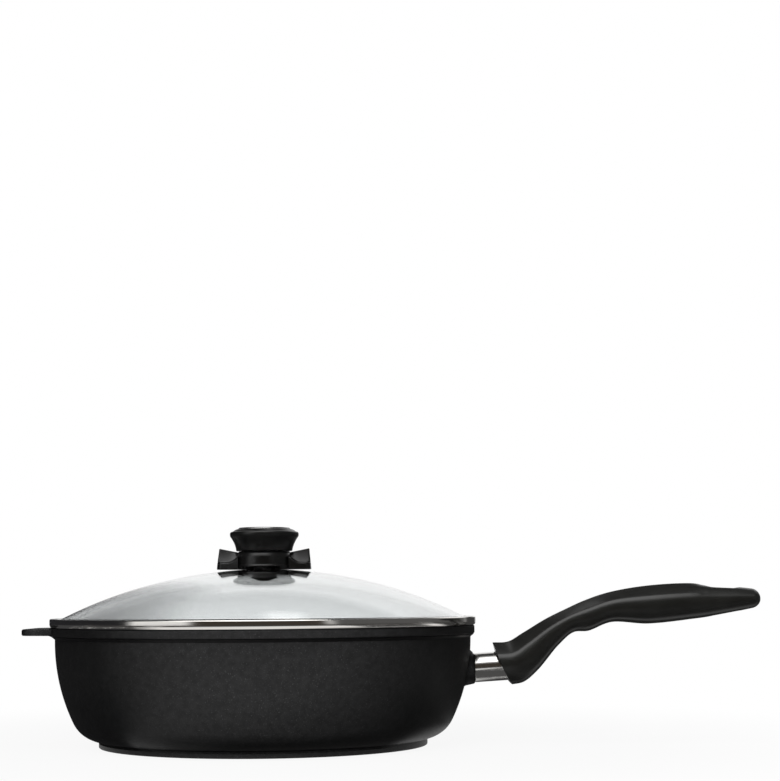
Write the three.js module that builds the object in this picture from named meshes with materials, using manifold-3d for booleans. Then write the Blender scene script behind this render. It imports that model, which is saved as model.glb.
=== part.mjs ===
// A deep pan with a long handle, a helper tab, a domed glass lid and a knob with a turning steam vent.
// Millimetres, +Z up. The origin is the middle of the resting face and the handle points along +X.
import * as THREE from "three";
import { mergeVertices } from "three/addons/utils/BufferGeometryUtils.js";
import Module from "manifold-3d";

const wasm = await Module();
wasm.setup();

// Fineness of the round work
const PAN_STEPS = 56;
const KNOB_STEPS = 30;
const SMALL_STEPS = 14;
const ARC_STEPS = 3;
const OVAL_STEPS = 10;
const WELD = 1e-4;

// Gap between pieces that meet, and how far a cutter runs past the face it opens
const FIT = 0.3;
const PAST = 2;

// Pan body
const RIM_RADIUS = 145.8;
const PAN_HEIGHT = 81.2;
const RIM_DEPTH = 5.9;
const RIM_SLOPE = 2.1;
const RIM_PROUD = 2.8;
const RIM_EDGE = 1.2;
const WALL = 4;
const FLOOR = 8;
const SIDE_SWEEP = 128;
const CORNER = 22;
const INNER_CORNER = 23;
const CORNER_LIFT = 4.6;
const FOOT_INSET = 30.4;
const FOOT_EDGE = 0.8;
const MOUTH_LEAD = 1.6;

// Steel disc let into the foot
const DISC_INSET = 14;
const DISC_DEPTH = 1.8;

// Helper tab opposite the handle
const TAB_REACH = 17.7;
const TAB_HALF_WIDTH = 36;
const TAB_FLARE = 9;
const TAB_CORNER = 13;
const TAB_DROP = 0.8;
const TAB_DEPTH = 4.4;

// Lug on the wall with a tongue inside the ferrule
const LUG_DROP = 29.8;
const LUG_REACH = 4;
const LUG_MARGIN = 0.5;
const LUG_ROOT = 14;
const LUG_TILT = THREE.MathUtils.degToRad(3.6);
const TONGUE_LENGTH = 16;

// Steel ferrule
const FERRULE_LENGTH = 29.5;
const FERRULE_HEIGHT = 20;
const FERRULE_WIDTH = 25;
const FERRULE_SHEET = 1;

// Handle: its front end covers the ferrule by these amounts, and its tip reaches GRIP_LENGTH past the
// ferrule's far end. Each station pairs a point of the upper outline, given by its reach and rise, with one
// of the lower outline, given by its reach and the depth between the two, and has a half width; all of them
// are shares of the four sizes above the list
const GRIP_COVER_TOP = 6.4;
const GRIP_COVER_SIDE = 2.8;
const GRIP_COVER_UNDER = 3.2;
const GRIP_LAP_TOP = 15.4;
const GRIP_LAP_UNDER = 4;
const GRIP_ELBOW_BACK = 4.5;
const GRIP_ELBOW_REACH = 4.2;
const GRIP_ELBOW_LIFT = 1.3;
const GRIP_LENGTH = 172.9;
const GRIP_CREST = 48.1;
const GRIP_DEPTH = 26.3;
const GRIP_HALF_WIDTH = 14.6;
const GRIP_STATIONS = [
  { reach: 0.034, rise: 0.445, underReach: 0.088, depth: 0.962, width: 1 },
  { reach: 0.13, rise: 0.622, underReach: 0.172, depth: 0.711, width: 0.89 },
  { reach: 0.216, rise: 0.748, underReach: 0.238, depth: 0.627, width: 0.863 },
  { reach: 0.293, rise: 0.85, underReach: 0.298, depth: 0.802, width: 0.89 },
  { reach: 0.393, rise: 0.942, underReach: 0.391, depth: 0.787, width: 0.918 },
  { reach: 0.556, rise: 1, underReach: 0.541, depth: 1, width: 1 },
  { reach: 0.737, rise: 0.984, underReach: 0.726, depth: 0.926, width: 0.97 },
  { reach: 0.781, rise: 0.944, underReach: 0.772, depth: 0.833, width: 0.938 },
  { reach: 0.925, rise: 0.879, underReach: 0.916, depth: 0.605, width: 0.836 },
  { reach: 1, rise: 0.83, underReach: 0.996, depth: 0.441, width: 0.781 },
];
const GRIP_RINGS = 28;
const GRIP_SECTION_POINTS = 16;
const GRIP_SQUARENESS = 2.5;
const TIP_SHARE = 0.04;
const TIP_RINGS = 4;
const TIP_TURN = THREE.MathUtils.degToRad(80);
const EYE_SETBACK = 26;
const EYE_LENGTH = 22;
const EYE_WIDTH = 9;

// Handle screw, its spring washer and the threaded bush in the tongue
const SCREW_RADIUS = 3;
const SCREW_WEB = 7.2;
const SCREW_HEAD_RADIUS = 5;
const SCREW_HEAD_DEPTH = 3.4;
const SCREW_ENTRY = 1;
const BUSH_WALL = 1.6;
const BUSH_ENTRY = 2.5;
const WASHER_RADIUS = 5.6;
const WASHER_DEPTH = 1.2;
const WASHER_SPLIT = 1;
const CROSS_WIDTH = 1.2;
const CROSS_SHARE = 1.3;
const CROSS_DEPTH = 1.6;

// Lid
const LID_GAP = 0.3;
const BAND_SHEET = 0.8;
const BAND_OVERHANG = 1;
const BAND_TAPER = 2.4;
const SKIRT_DROP = 5;
const SKIRT_SLACK = 0.7;
const GLASS = 3.4;
const BRIM = 2.4;
const DOME_RISE = 34.3;
const DOME_STEPS = 7;
const GLASS_HOLE = 5.2;

// Hollow stud, gaskets and nut that clamp the glass
const STUD_SLACK = 0.7;
const STUD_BORE = 2.6;
const STUD_SEAT = 3;
const PORT_RADIUS = 0.7;
const PORT_COUNT = 4;
const GASKET = 0.6;
const GASKET_WIDTH = 4;
const NUT_WALL = 5;
const NUT_EDGE = 0.6;
const NUT_CROWN = 2.4;
const NUT_FLAT = 0.4;
const NUT_FLOOR = 0.9;
const NUT_INLET = 2.4;

// Vent seat under the knob
const SEAT_RADIUS = 17;
const SEAT_WALL = 1.8;
const CHAMBER = 3.6;
const SEAT_SLAB = 1.4;
const COLUMN_RADIUS = 8.2;
const COLUMN_HEIGHT = 7.4;
const KEY_RADIUS = 6;
const KEY_HEIGHT = 2;
const KEY_SIDES = 6;
const VENT_BEARING = THREE.MathUtils.degToRad(264);
const VENT_HALF_ANGLE = THREE.MathUtils.degToRad(43);
const VENT_TURN = THREE.MathUtils.degToRad(90);
const WINDOW_HEIGHT = 2.1;
const STOP_SIZE = 2.4;
const STOP_HEIGHT = 1.4;

// Turning collar with two wings
const COLLAR_WALL = 2.7;
const COLLAR_STEP = 3.2;
const HUB_WALL = 1.2;
const HUB_FLARE = 4;
const HUB_EDGE = 0.5;
const WAVE_WIDTH = 3.6;
const WAVE_DEPTH = 0.4;
const WING_REACH = 32.6;
const WING_LEAN = 1.2;
const WING_RISE = 2.2;
const WING_DROP = 0.6;
const FIN_HALF = 3.2;
const PLATE_DEPTH = 4.6;
const PLATE_HALF_ROOT = 11.5;
const PLATE_HALF_TIP = 8.5;
const PLATE_CORNER = 3;

// Knob grip and the steel cap in its top
const KNOB_FOOT = 19.6;
const KNOB_WAIST = 20.1;
const KNOB_SHOULDER = 3.7;
const KNOB_BULGE = 1.5;
const KNOB_HEIGHT = 15.3;
const FLANGE_HEIGHT = 10.2;
const CROWN_HEIGHT = 13.5;
const CAP_RADIUS = 18.3;
const CAP_RIM = 1;
const CAP_DOME = 0.7;
const CAP_LET = 0.9;
const CAP_EDGE = 0.8;

// Knob screw and its insert
const KNOB_SCREW_RADIUS = 1.9;
const KNOB_SCREW_HEAD = 3.8;
const KNOB_SCREW_HEAD_DEPTH = 2.6;
const KNOB_SCREW_SEAT = 6.8;
const KNOB_SCREW_ENTRY = 6;
const INSERT_WALL = 1.2;
const INSERT_DEPTH = 7;

// Shared shapes

function toSolid(geometry) {
  geometry.deleteAttribute("normal");
  geometry.deleteAttribute("uv");
  const welded = mergeVertices(geometry, WELD);
  const corners = welded.index.array;
  const kept = [];
  for (let i = 0; i < corners.length; i += 3) {
    const [a, b, c] = corners.slice(i, i + 3);
    if (a !== b && b !== c && c !== a) kept.push(a, b, c);
  }
  const mesh = new wasm.Mesh({
    numProp: 3,
    vertProperties: new Float32Array(welded.attributes.position.array),
    triVerts: new Uint32Array(kept),
  });
  return new wasm.Manifold(mesh);
}

function toGeometry(solid) {
  const mesh = solid.getMesh();
  const geometry = new THREE.BufferGeometry();
  geometry.setAttribute("position", new THREE.BufferAttribute(mesh.vertProperties, mesh.numProp));
  geometry.setIndex(new THREE.BufferAttribute(mesh.triVerts, 1));
  geometry.computeVertexNormals();
  return geometry;
}

function revolve(path, steps, matrix = new THREE.Matrix4()) {
  const points = path.getPoints(ARC_STEPS);
  const geometry = new THREE.LatheGeometry(points, steps).rotateX(Math.PI / 2);
  return toSolid(geometry.applyMatrix4(matrix));
}

function outline(points) {
  const path = new THREE.Path();
  path.moveTo(...points[0]);
  for (const point of points.slice(1)) path.lineTo(...point);
  return path;
}

function ring(inner, outer, low, high, steps, matrix) {
  const profile = [[inner, low], [outer, low], [outer, high], [inner, high], [inner, low]];
  return revolve(outline(profile), steps, matrix);
}

function rod(radius, low, high, steps, matrix) {
  return revolve(outline([[0, low], [radius, low], [radius, high], [0, high]]), steps, matrix);
}

function extrude(shape, low, high, matrix = new THREE.Matrix4()) {
  const options = { depth: high - low, bevelEnabled: false, curveSegments: OVAL_STEPS };
  const geometry = new THREE.ExtrudeGeometry(shape, options).translate(0, 0, low);
  return toSolid(geometry.applyMatrix4(matrix));
}

function block(width, depth, low, high, matrix) {
  const [x, y] = [width / 2, depth / 2];
  const corners = outline([[-x, -y], [x, -y], [x, y], [-x, y]]).getPoints();
  return extrude(new THREE.Shape(corners), low, high, matrix);
}

function sector(inner, outer, from, to, low, high) {
  const shape = new THREE.Shape();
  shape.absarc(0, 0, outer, from, to, false);
  shape.absarc(0, 0, inner, to, from, true);
  return extrude(shape, low, high);
}

function crossSlot(reach, low, high, matrix) {
  return block(reach, CROSS_WIDTH, low, high, matrix).add(block(CROSS_WIDTH, reach, low, high, matrix));
}

// Turns work drawn about +Z, with its upper side along Y, so that it lies along +X
const alongX = new THREE.Matrix4().makeBasis(
  new THREE.Vector3(0, 1, 0),
  new THREE.Vector3(0, 0, 1),
  new THREE.Vector3(1, 0, 0),
);

function ovalBar(halfWidth, halfHeight, from, to) {
  const shape = new THREE.Shape();
  shape.absellipse(0, 0, halfWidth, halfHeight, 0, 2 * Math.PI);
  return extrude(shape, from, to, alongX);
}

// Pan body

const wallRadius = RIM_RADIUS - RIM_PROUD;
const mouthRadius = wallRadius - WALL;
const footRadius = wallRadius - FOOT_INSET;
const sideTop = PAN_HEIGHT - RIM_DEPTH - RIM_SLOPE;
const sideCentre = wallRadius - SIDE_SWEEP;
const discRadius = footRadius - DISC_INSET;

// The corner arc lies inside the side's sweep and touches it in the direction `turn`
function cornerArc(sweep, radius, lowest) {
  const height = lowest + radius;
  const drop = sideTop - height;
  const run = Math.sqrt((sweep - radius) ** 2 - drop ** 2);
  return { centre: sideCentre + run, height, turn: Math.atan2(-drop, run) };
}

function wallRadiusAt(height) {
  return sideCentre + Math.sqrt(SIDE_SWEEP ** 2 - (sideTop - height) ** 2);
}

const lugHeight = PAN_HEIGHT - LUG_DROP;
const lugFace = wallRadiusAt(lugHeight) + LUG_REACH;
const tongueHalfWidth = FERRULE_WIDTH / 2 - FERRULE_SHEET - FIT;
const tongueHalfHeight = FERRULE_HEIGHT / 2 - FERRULE_SHEET - FIT;
const bushBore = SCREW_RADIUS + FIT;
const bushRadius = bushBore + BUSH_WALL;

const handle = new THREE.Group();
handle.position.set(lugFace, 0, lugHeight);
handle.rotation.y = -LUG_TILT;
handle.updateMatrix();

function panOutside() {
  const corner = cornerArc(SIDE_SWEEP, CORNER, CORNER_LIFT);
  const footTurn = -Math.acos((footRadius - corner.centre) / CORNER);
  const path = outline([[0, 0], [footRadius - FOOT_EDGE, 0], [footRadius, FOOT_EDGE]]);
  path.absarc(corner.centre, corner.height, CORNER, footTurn, corner.turn, false);
  path.absarc(sideCentre, sideTop, SIDE_SWEEP, corner.turn, 0, false);
  path.lineTo(RIM_RADIUS, sideTop + RIM_SLOPE);
  path.lineTo(RIM_RADIUS, PAN_HEIGHT - RIM_EDGE);
  path.lineTo(RIM_RADIUS - RIM_EDGE, PAN_HEIGHT);
  path.lineTo(0, PAN_HEIGHT);
  return revolve(path, PAN_STEPS);
}

function panCavity() {
  const corner = cornerArc(SIDE_SWEEP - WALL, INNER_CORNER, FLOOR);
  const path = outline([[0, FLOOR], [corner.centre, FLOOR]]);
  path.absarc(corner.centre, corner.height, INNER_CORNER, -Math.PI / 2, corner.turn, false);
  path.absarc(sideCentre, sideTop, SIDE_SWEEP - WALL, corner.turn, 0, false);
  path.lineTo(mouthRadius, PAN_HEIGHT - MOUTH_LEAD);
  path.lineTo(mouthRadius + MOUTH_LEAD, PAN_HEIGHT);
  path.lineTo(mouthRadius + MOUTH_LEAD, PAN_HEIGHT + PAST);
  path.lineTo(0, PAN_HEIGHT + PAST);
  return revolve(path, PAN_STEPS);
}

function helperTab() {
  const end = -(RIM_RADIUS + TAB_REACH);
  const rootHalf = TAB_HALF_WIDTH + TAB_FLARE;
  const root = -Math.sqrt(mouthRadius ** 2 - rootHalf ** 2);
  const straight = TAB_HALF_WIDTH - TAB_CORNER;
  const shape = new THREE.Shape();
  shape.moveTo(root, rootHalf);
  shape.lineTo(end + TAB_CORNER, TAB_HALF_WIDTH);
  shape.quadraticCurveTo(end, TAB_HALF_WIDTH, end, straight);
  shape.lineTo(end, -straight);
  shape.quadraticCurveTo(end, -TAB_HALF_WIDTH, end + TAB_CORNER, -TAB_HALF_WIDTH);
  shape.lineTo(root, -rootHalf);
  const top = PAN_HEIGHT - TAB_DROP;
  return extrude(shape, top - TAB_DEPTH, top);
}

function handleLug() {
  const halfWidth = FERRULE_WIDTH / 2 + LUG_MARGIN;
  const halfHeight = FERRULE_HEIGHT / 2 + LUG_MARGIN;
  const lug = ovalBar(halfWidth, halfHeight, -LUG_ROOT, 0);
  return lug.add(ovalBar(tongueHalfWidth, tongueHalfHeight, -PAST, TONGUE_LENGTH));
}

function panBody() {
  const discRecess = rod(discRadius + FIT, -PAST, DISC_DEPTH + FIT, PAN_STEPS);
  const bushRecess = rod(bushRadius + FIT, -BUSH_ENTRY - FIT, TONGUE_LENGTH + PAST, SMALL_STEPS, alongX);
  return panOutside()
    .add(helperTab())
    .add(handleLug().transform(handle.matrix.elements))
    .subtract(panCavity())
    .subtract(discRecess)
    .subtract(bushRecess.transform(handle.matrix.elements));
}

function inductionDisc() {
  return rod(discRadius, 0, DISC_DEPTH, PAN_STEPS);
}

// Handle, drawn from the middle of the lug's face along the ferrule's axis

const pocketEnd = FERRULE_LENGTH + FIT;
const screwSeat = pocketEnd + SCREW_WEB;
const washerLow = screwSeat + FIT;
const headLow = washerLow + WASHER_DEPTH + FIT;

function threadedBush() {
  return ring(bushBore, bushRadius, -BUSH_ENTRY, TONGUE_LENGTH, SMALL_STEPS, alongX);
}

function ferrule() {
  const outside = ovalBar(FERRULE_WIDTH / 2, FERRULE_HEIGHT / 2, FIT, FERRULE_LENGTH);
  const hollowWidth = FERRULE_WIDTH / 2 - FERRULE_SHEET;
  const hollowHeight = FERRULE_HEIGHT / 2 - FERRULE_SHEET;
  return outside.subtract(ovalBar(hollowWidth, hollowHeight, -PAST, FERRULE_LENGTH + PAST));
}

function gripStations() {
  const rootTop = FERRULE_HEIGHT / 2 + GRIP_COVER_TOP;
  const rootUnder = -FERRULE_HEIGHT / 2 - GRIP_COVER_UNDER;
  const half = FERRULE_WIDTH / 2 + FIT + GRIP_COVER_SIDE;
  const front = { top: [-GRIP_LAP_TOP, rootTop], under: [-GRIP_LAP_UNDER, rootUnder], half };
  const elbowUnder = [GRIP_ELBOW_REACH, rootUnder + GRIP_ELBOW_LIFT];
  const elbow = { top: [-GRIP_ELBOW_BACK, rootTop], under: elbowUnder, half };
  const rest = GRIP_STATIONS.map((s) => ({
    top: [s.reach * GRIP_LENGTH, s.rise * GRIP_CREST],
    under: [s.underReach * GRIP_LENGTH, s.rise * GRIP_CREST - s.depth * GRIP_DEPTH],
    half: s.width * GRIP_HALF_WIDTH,
  }));
  return [front, elbow, ...rest];
}

function stationCurve(stations, side) {
  const points = stations.map((s) => new THREE.Vector3(FERRULE_LENGTH + s[side][0], s.half, s[side][1]));
  return new THREE.CatmullRomCurve3(points);
}

// One ring of the handle lies in the plane through its upper and lower point, shrunk about its middle
function gripRing(top, under, shrink) {
  const middle = top.clone().add(under).divideScalar(2);
  const points = [];
  for (let i = 0; i < GRIP_SECTION_POINTS; i += 1) {
    const turn = (2 * Math.PI * i) / GRIP_SECTION_POINTS;
    const across = Math.sign(Math.cos(turn)) * Math.abs(Math.cos(turn)) ** (2 / GRIP_SQUARENESS);
    const up = Math.sign(Math.sin(turn)) * Math.abs(Math.sin(turn)) ** (2 / GRIP_SQUARENESS);
    const x = middle.x + ((top.x - under.x) / 2) * up * shrink;
    const z = middle.z + ((top.z - under.z) / 2) * up * shrink;
    points.push([x, middle.y * across * shrink, z]);
  }
  return points;
}

function loft(rings) {
  const count = rings[0].length;
  const corners = [];
  for (let i = 0; i + 1 < rings.length; i += 1) {
    for (let j = 0; j < count; j += 1) {
      const [a, b] = [i * count + j, i * count + ((j + 1) % count)];
      corners.push(a, b, a + count, b, b + count, a + count);
    }
  }
  const last = (rings.length - 1) * count;
  for (let j = 1; j + 1 < count; j += 1) corners.push(0, j + 1, j, last, last + j, last + j + 1);
  const geometry = new THREE.BufferGeometry();
  geometry.setAttribute("position", new THREE.Float32BufferAttribute(rings.flat(2), 3));
  geometry.setIndex(corners);
  return toSolid(geometry);
}

function gripBlank() {
  const stations = gripStations();
  const upper = stationCurve(stations, "top");
  const lower = stationCurve(stations, "under");
  const rings = [];
  for (let i = 0; i <= GRIP_RINGS; i += 1) {
    const t = ((1 - TIP_SHARE) * i) / GRIP_RINGS;
    rings.push(gripRing(upper.getPoint(t), lower.getPoint(t), 1));
  }
  for (let i = 1; i <= TIP_RINGS; i += 1) {
    const turn = (TIP_TURN * i) / TIP_RINGS;
    const t = 1 - TIP_SHARE + TIP_SHARE * Math.sin(turn);
    rings.push(gripRing(upper.getPoint(t), lower.getPoint(t), Math.cos(turn)));
  }
  return loft(rings);
}

function hangingEye() {
  const middle = FERRULE_LENGTH + GRIP_LENGTH - EYE_SETBACK;
  const end = EYE_WIDTH / 2;
  const run = EYE_LENGTH / 2 - end;
  const shape = new THREE.Shape();
  shape.absarc(middle + run, 0, end, -Math.PI / 2, Math.PI / 2, false);
  shape.absarc(middle - run, 0, end, Math.PI / 2, (3 * Math.PI) / 2, false);
  return extrude(shape, 0, 2 * GRIP_CREST);
}

function handleGrip() {
  const pocket = ovalBar(FERRULE_WIDTH / 2 + FIT, FERRULE_HEIGHT / 2 + FIT, 0, pocketEnd);
  const bore = rod(SCREW_RADIUS + FIT, pocketEnd - PAST, screwSeat + PAST, SMALL_STEPS, alongX);
  const clear = FERRULE_LENGTH + GRIP_STATIONS[1].underReach * GRIP_LENGTH;
  const counterbore = rod(WASHER_RADIUS + FIT, screwSeat, clear, SMALL_STEPS, alongX);
  return gripBlank().subtract(pocket).subtract(bore).subtract(counterbore).subtract(hangingEye());
}

function handleScrew() {
  const shank = rod(SCREW_RADIUS, -SCREW_ENTRY, headLow + FIT, SMALL_STEPS, alongX);
  const top = headLow + SCREW_HEAD_DEPTH;
  const head = rod(SCREW_HEAD_RADIUS, headLow, top, SMALL_STEPS, alongX);
  const slot = crossSlot(SCREW_HEAD_RADIUS * CROSS_SHARE, top - CROSS_DEPTH, top + PAST, alongX);
  return shank.add(head).subtract(slot);
}

function springWasher() {
  const washerTop = washerLow + WASHER_DEPTH;
  const washer = ring(SCREW_RADIUS + FIT, WASHER_RADIUS, washerLow, washerTop, SMALL_STEPS, alongX);
  const side = new THREE.Matrix4().makeTranslation(0, WASHER_RADIUS, 0);
  const split = block(WASHER_SPLIT, 2 * WASHER_RADIUS, screwSeat, headLow, alongX.clone().multiply(side));
  return washer.subtract(split);
}

// Lid

const bandLow = PAN_HEIGHT + LID_GAP;
const brimLow = bandLow + BAND_SHEET + FIT;
const brimTop = brimLow + GLASS;
const bandTop = brimTop + FIT + BAND_SHEET;
const bandRadius = RIM_RADIUS + BAND_OVERHANG;
const glassRadius = bandRadius - BAND_TAPER - BAND_SHEET - FIT;
const domeFoot = glassRadius - BRIM;
const domeRadius = (domeFoot ** 2 + DOME_RISE ** 2) / (2 * DOME_RISE);
const domeCentre = brimTop + DOME_RISE - domeRadius;

function domeTop(radius) {
  return domeCentre + Math.sqrt(domeRadius ** 2 - radius ** 2);
}

function domeUnder(radius) {
  return domeCentre + Math.sqrt((domeRadius - GLASS) ** 2 - radius ** 2);
}

function lidGlass() {
  const inside = domeRadius - GLASS;
  const underFoot = Math.sqrt(inside ** 2 - (brimLow - domeCentre) ** 2);
  const points = [[underFoot, brimLow], [glassRadius, brimLow], [glassRadius, brimTop]];
  for (let i = 0; i <= DOME_STEPS; i += 1) {
    const radius = THREE.MathUtils.lerp(domeFoot, GLASS_HOLE, i / DOME_STEPS);
    points.push([radius, domeTop(radius)]);
  }
  for (let i = 0; i <= DOME_STEPS; i += 1) {
    const radius = THREE.MathUtils.lerp(GLASS_HOLE, underFoot, i / DOME_STEPS);
    points.push([radius, domeUnder(radius)]);
  }
  return revolve(outline(points), PAN_STEPS);
}

function lidBand() {
  const skirt = mouthRadius - SKIRT_SLACK;
  const lip = domeFoot + FIT;
  const lean = BAND_TAPER / (bandTop - bandLow);
  const profile = [
    [skirt - BAND_SHEET, PAN_HEIGHT - SKIRT_DROP],
    [skirt, PAN_HEIGHT - SKIRT_DROP],
    [skirt, bandLow],
    [bandRadius - BAND_TAPER, bandLow],
    [bandRadius, bandTop],
    [lip, bandTop],
    [lip, bandTop - BAND_SHEET],
    [bandRadius - BAND_SHEET * (1 + lean), bandTop - BAND_SHEET],
    [bandRadius - BAND_TAPER - BAND_SHEET * (1 - lean), bandLow + BAND_SHEET],
    [skirt - BAND_SHEET, bandLow + BAND_SHEET],
    [skirt - BAND_SHEET, PAN_HEIGHT - SKIRT_DROP],
  ];
  return revolve(outline(profile), PAN_STEPS);
}

// Clamp through the glass

const studRadius = GLASS_HOLE - STUD_SLACK;
const clampBore = studRadius + FIT;
const gasketRadius = clampBore + GASKET_WIDTH;
const nutRadius = clampBore + NUT_WALL;
const gasketLow = domeTop(GLASS_HOLE) + FIT;
const bossLow = gasketLow + GASKET + FIT;
const slabLow = domeTop(SEAT_RADIUS) + FIT + CHAMBER;
const slabTop = slabLow + SEAT_SLAB;
const lowerGasketTop = domeUnder(gasketRadius) - FIT;
const nutTop = lowerGasketTop - GASKET - FIT;
const nutLow = nutTop - NUT_EDGE - NUT_CROWN;
const studLow = nutLow + NUT_FLOOR + FIT;
const studTop = slabLow - FIT;

function upperGasket() {
  return ring(clampBore, gasketRadius, gasketLow, gasketLow + GASKET, KNOB_STEPS);
}

function lowerGasket() {
  return ring(clampBore, gasketRadius, lowerGasketTop - GASKET, lowerGasketTop, KNOB_STEPS);
}

function steamStud() {
  const portHeight = (bossLow + slabLow) / 2;
  const flange = ring(studRadius - FIT, studRadius + STUD_SEAT, bossLow, studTop, KNOB_STEPS);
  let stud = ring(STUD_BORE, studRadius, studLow, studTop, KNOB_STEPS).add(flange);
  for (let i = 0; i < PORT_COUNT; i += 1) {
    const turn = new THREE.Matrix4().makeRotationZ((2 * Math.PI * i) / PORT_COUNT);
    const lift = new THREE.Matrix4().makeTranslation(0, 0, portHeight);
    const port = rod(PORT_RADIUS, 0, SEAT_RADIUS, SMALL_STEPS, turn.multiply(lift).multiply(alongX));
    stud = stud.subtract(port);
  }
  return stud;
}

function retainingNut() {
  const profile = [
    [NUT_INLET, nutLow],
    [clampBore + NUT_FLAT, nutLow],
    [nutRadius, nutTop - NUT_EDGE],
    [nutRadius, nutTop],
    [clampBore, nutTop],
    [clampBore, nutLow + NUT_FLOOR],
    [NUT_INLET, nutLow + NUT_FLOOR],
    [NUT_INLET, nutLow],
  ];
  return revolve(outline(profile), KNOB_STEPS);
}

// Vent seat, turning collar and wave washer

const columnTop = slabTop + COLUMN_HEIGHT;
const keyTop = columnTop + KEY_HEIGHT;
const insertLow = keyTop - INSERT_DEPTH;
const insertBore = KNOB_SCREW_RADIUS + FIT;
const insertRadius = insertBore + INSERT_WALL;
const stopRadius = (COLUMN_RADIUS + SEAT_RADIUS) / 2;
const columnBore = COLUMN_RADIUS + FIT;
const waveRadius = columnBore + WAVE_WIDTH;
const skirtInner = SEAT_RADIUS + FIT;
const hubRadius = skirtInner + HUB_WALL;
const collarRadius = skirtInner + COLLAR_WALL;
const collarLow = domeTop(skirtInner) + FIT;
const hubLow = slabTop + FIT;
const waveFloor = columnTop - FIT - WAVE_DEPTH - FIT;
const knobLow = columnTop + FIT;
const hubTop = knobLow - FIT;

function stopLug(grow, from, to, low, high) {
  const half = STOP_SIZE / 2 + grow;
  const swing = half / stopRadius;
  return sector(stopRadius - half, stopRadius + half, from - swing, to + swing, low, high);
}

function hexagon(radius, low, high) {
  return rod(radius, low, high, KEY_SIDES);
}

function ventSeat() {
  const inner = SEAT_RADIUS - SEAT_WALL;
  const bottom = domeTop(inner) + FIT;
  const cup = ring(inner, SEAT_RADIUS, bottom, slabTop, KNOB_STEPS);
  const slab = rod(inner + FIT, slabLow, slabTop, KNOB_STEPS);
  const column = rod(COLUMN_RADIUS, slabLow, columnTop, KNOB_STEPS);
  const from = VENT_BEARING - VENT_HALF_ANGLE;
  const to = VENT_BEARING + VENT_HALF_ANGLE;
  const window = sector(inner - PAST, SEAT_RADIUS + PAST, from, to, bottom - PAST, slabLow);
  const stop = stopLug(0, 0, 0, slabTop - FIT, slabTop + STOP_HEIGHT);
  const insertBed = rod(insertRadius + FIT, insertLow - FIT, keyTop + PAST, SMALL_STEPS);
  return cup
    .add(slab)
    .add(column)
    .add(hexagon(KEY_RADIUS, slabTop, keyTop))
    .add(stop)
    .subtract(window)
    .subtract(insertBed);
}

function collarBarrel() {
  const shelf = collarLow + COLLAR_STEP;
  const path = outline([
    [columnBore, hubLow],
    [skirtInner, hubLow],
    [skirtInner, collarLow],
    [collarRadius, collarLow],
    [collarRadius, shelf],
  ]);
  path.quadraticCurveTo(hubRadius, shelf, hubRadius, shelf + HUB_FLARE);
  path.lineTo(hubRadius, hubTop - HUB_EDGE);
  path.lineTo(hubRadius - HUB_EDGE, hubTop);
  path.lineTo(waveRadius + FIT, hubTop);
  path.lineTo(waveRadius + FIT, waveFloor);
  path.lineTo(columnBore, waveFloor);
  path.lineTo(columnBore, hubLow);
  return revolve(path, KNOB_STEPS);
}

function wing(bearing) {
  const root = skirtInner + FIT;
  const turn = new THREE.Matrix4().makeRotationZ(bearing);
  const plate = new THREE.Shape();
  plate.moveTo(root, -PLATE_HALF_ROOT);
  plate.lineTo(WING_REACH - PLATE_CORNER, -PLATE_HALF_TIP);
  plate.quadraticCurveTo(WING_REACH, -PLATE_HALF_TIP, WING_REACH, -PLATE_HALF_TIP + PLATE_CORNER);
  plate.lineTo(WING_REACH, PLATE_HALF_TIP - PLATE_CORNER);
  plate.quadraticCurveTo(WING_REACH, PLATE_HALF_TIP, WING_REACH - PLATE_CORNER, PLATE_HALF_TIP);
  plate.lineTo(root, PLATE_HALF_ROOT);
  const fin = new THREE.Shape();
  fin.moveTo(root, collarLow);
  fin.lineTo(WING_REACH, collarLow);
  fin.lineTo(WING_REACH - WING_LEAN, hubTop + WING_RISE);
  fin.lineTo(root, hubTop - WING_DROP);
  const upright = new THREE.Matrix4().makeRotationX(Math.PI / 2);
  const finSolid = extrude(fin, -FIN_HALF, FIN_HALF, turn.clone().multiply(upright));
  return extrude(plate, collarLow, collarLow + PLATE_DEPTH, turn).add(finSolid);
}

function ventCollar() {
  const from = VENT_BEARING - VENT_HALF_ANGLE;
  const to = VENT_BEARING + VENT_HALF_ANGLE;
  const windowTop = collarLow + WINDOW_HEIGHT;
  const window = sector(skirtInner - PAST, collarRadius + PAST, from, to, collarLow - PAST, windowTop);
  const track = stopLug(FIT, -VENT_TURN, 0, hubLow - PAST, hubLow + STOP_HEIGHT);
  const barrel = collarBarrel().subtract(window).subtract(track);
  return barrel.add(wing(0)).add(wing(Math.PI));
}

function waveWasher() {
  const low = waveFloor + FIT;
  return ring(columnBore, waveRadius, low, low + WAVE_DEPTH, KNOB_STEPS);
}

// Knob

const capSeat = knobLow + KNOB_HEIGHT - CAP_LET;
const knobScrewSeat = knobLow + KNOB_SCREW_SEAT;
const capBed = CAP_RADIUS + FIT;
const crownRadius = capBed + KNOB_SHOULDER;
const flangeRadius = crownRadius + KNOB_BULGE;
const knobScrewBed = KNOB_SCREW_HEAD + FIT;

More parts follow.
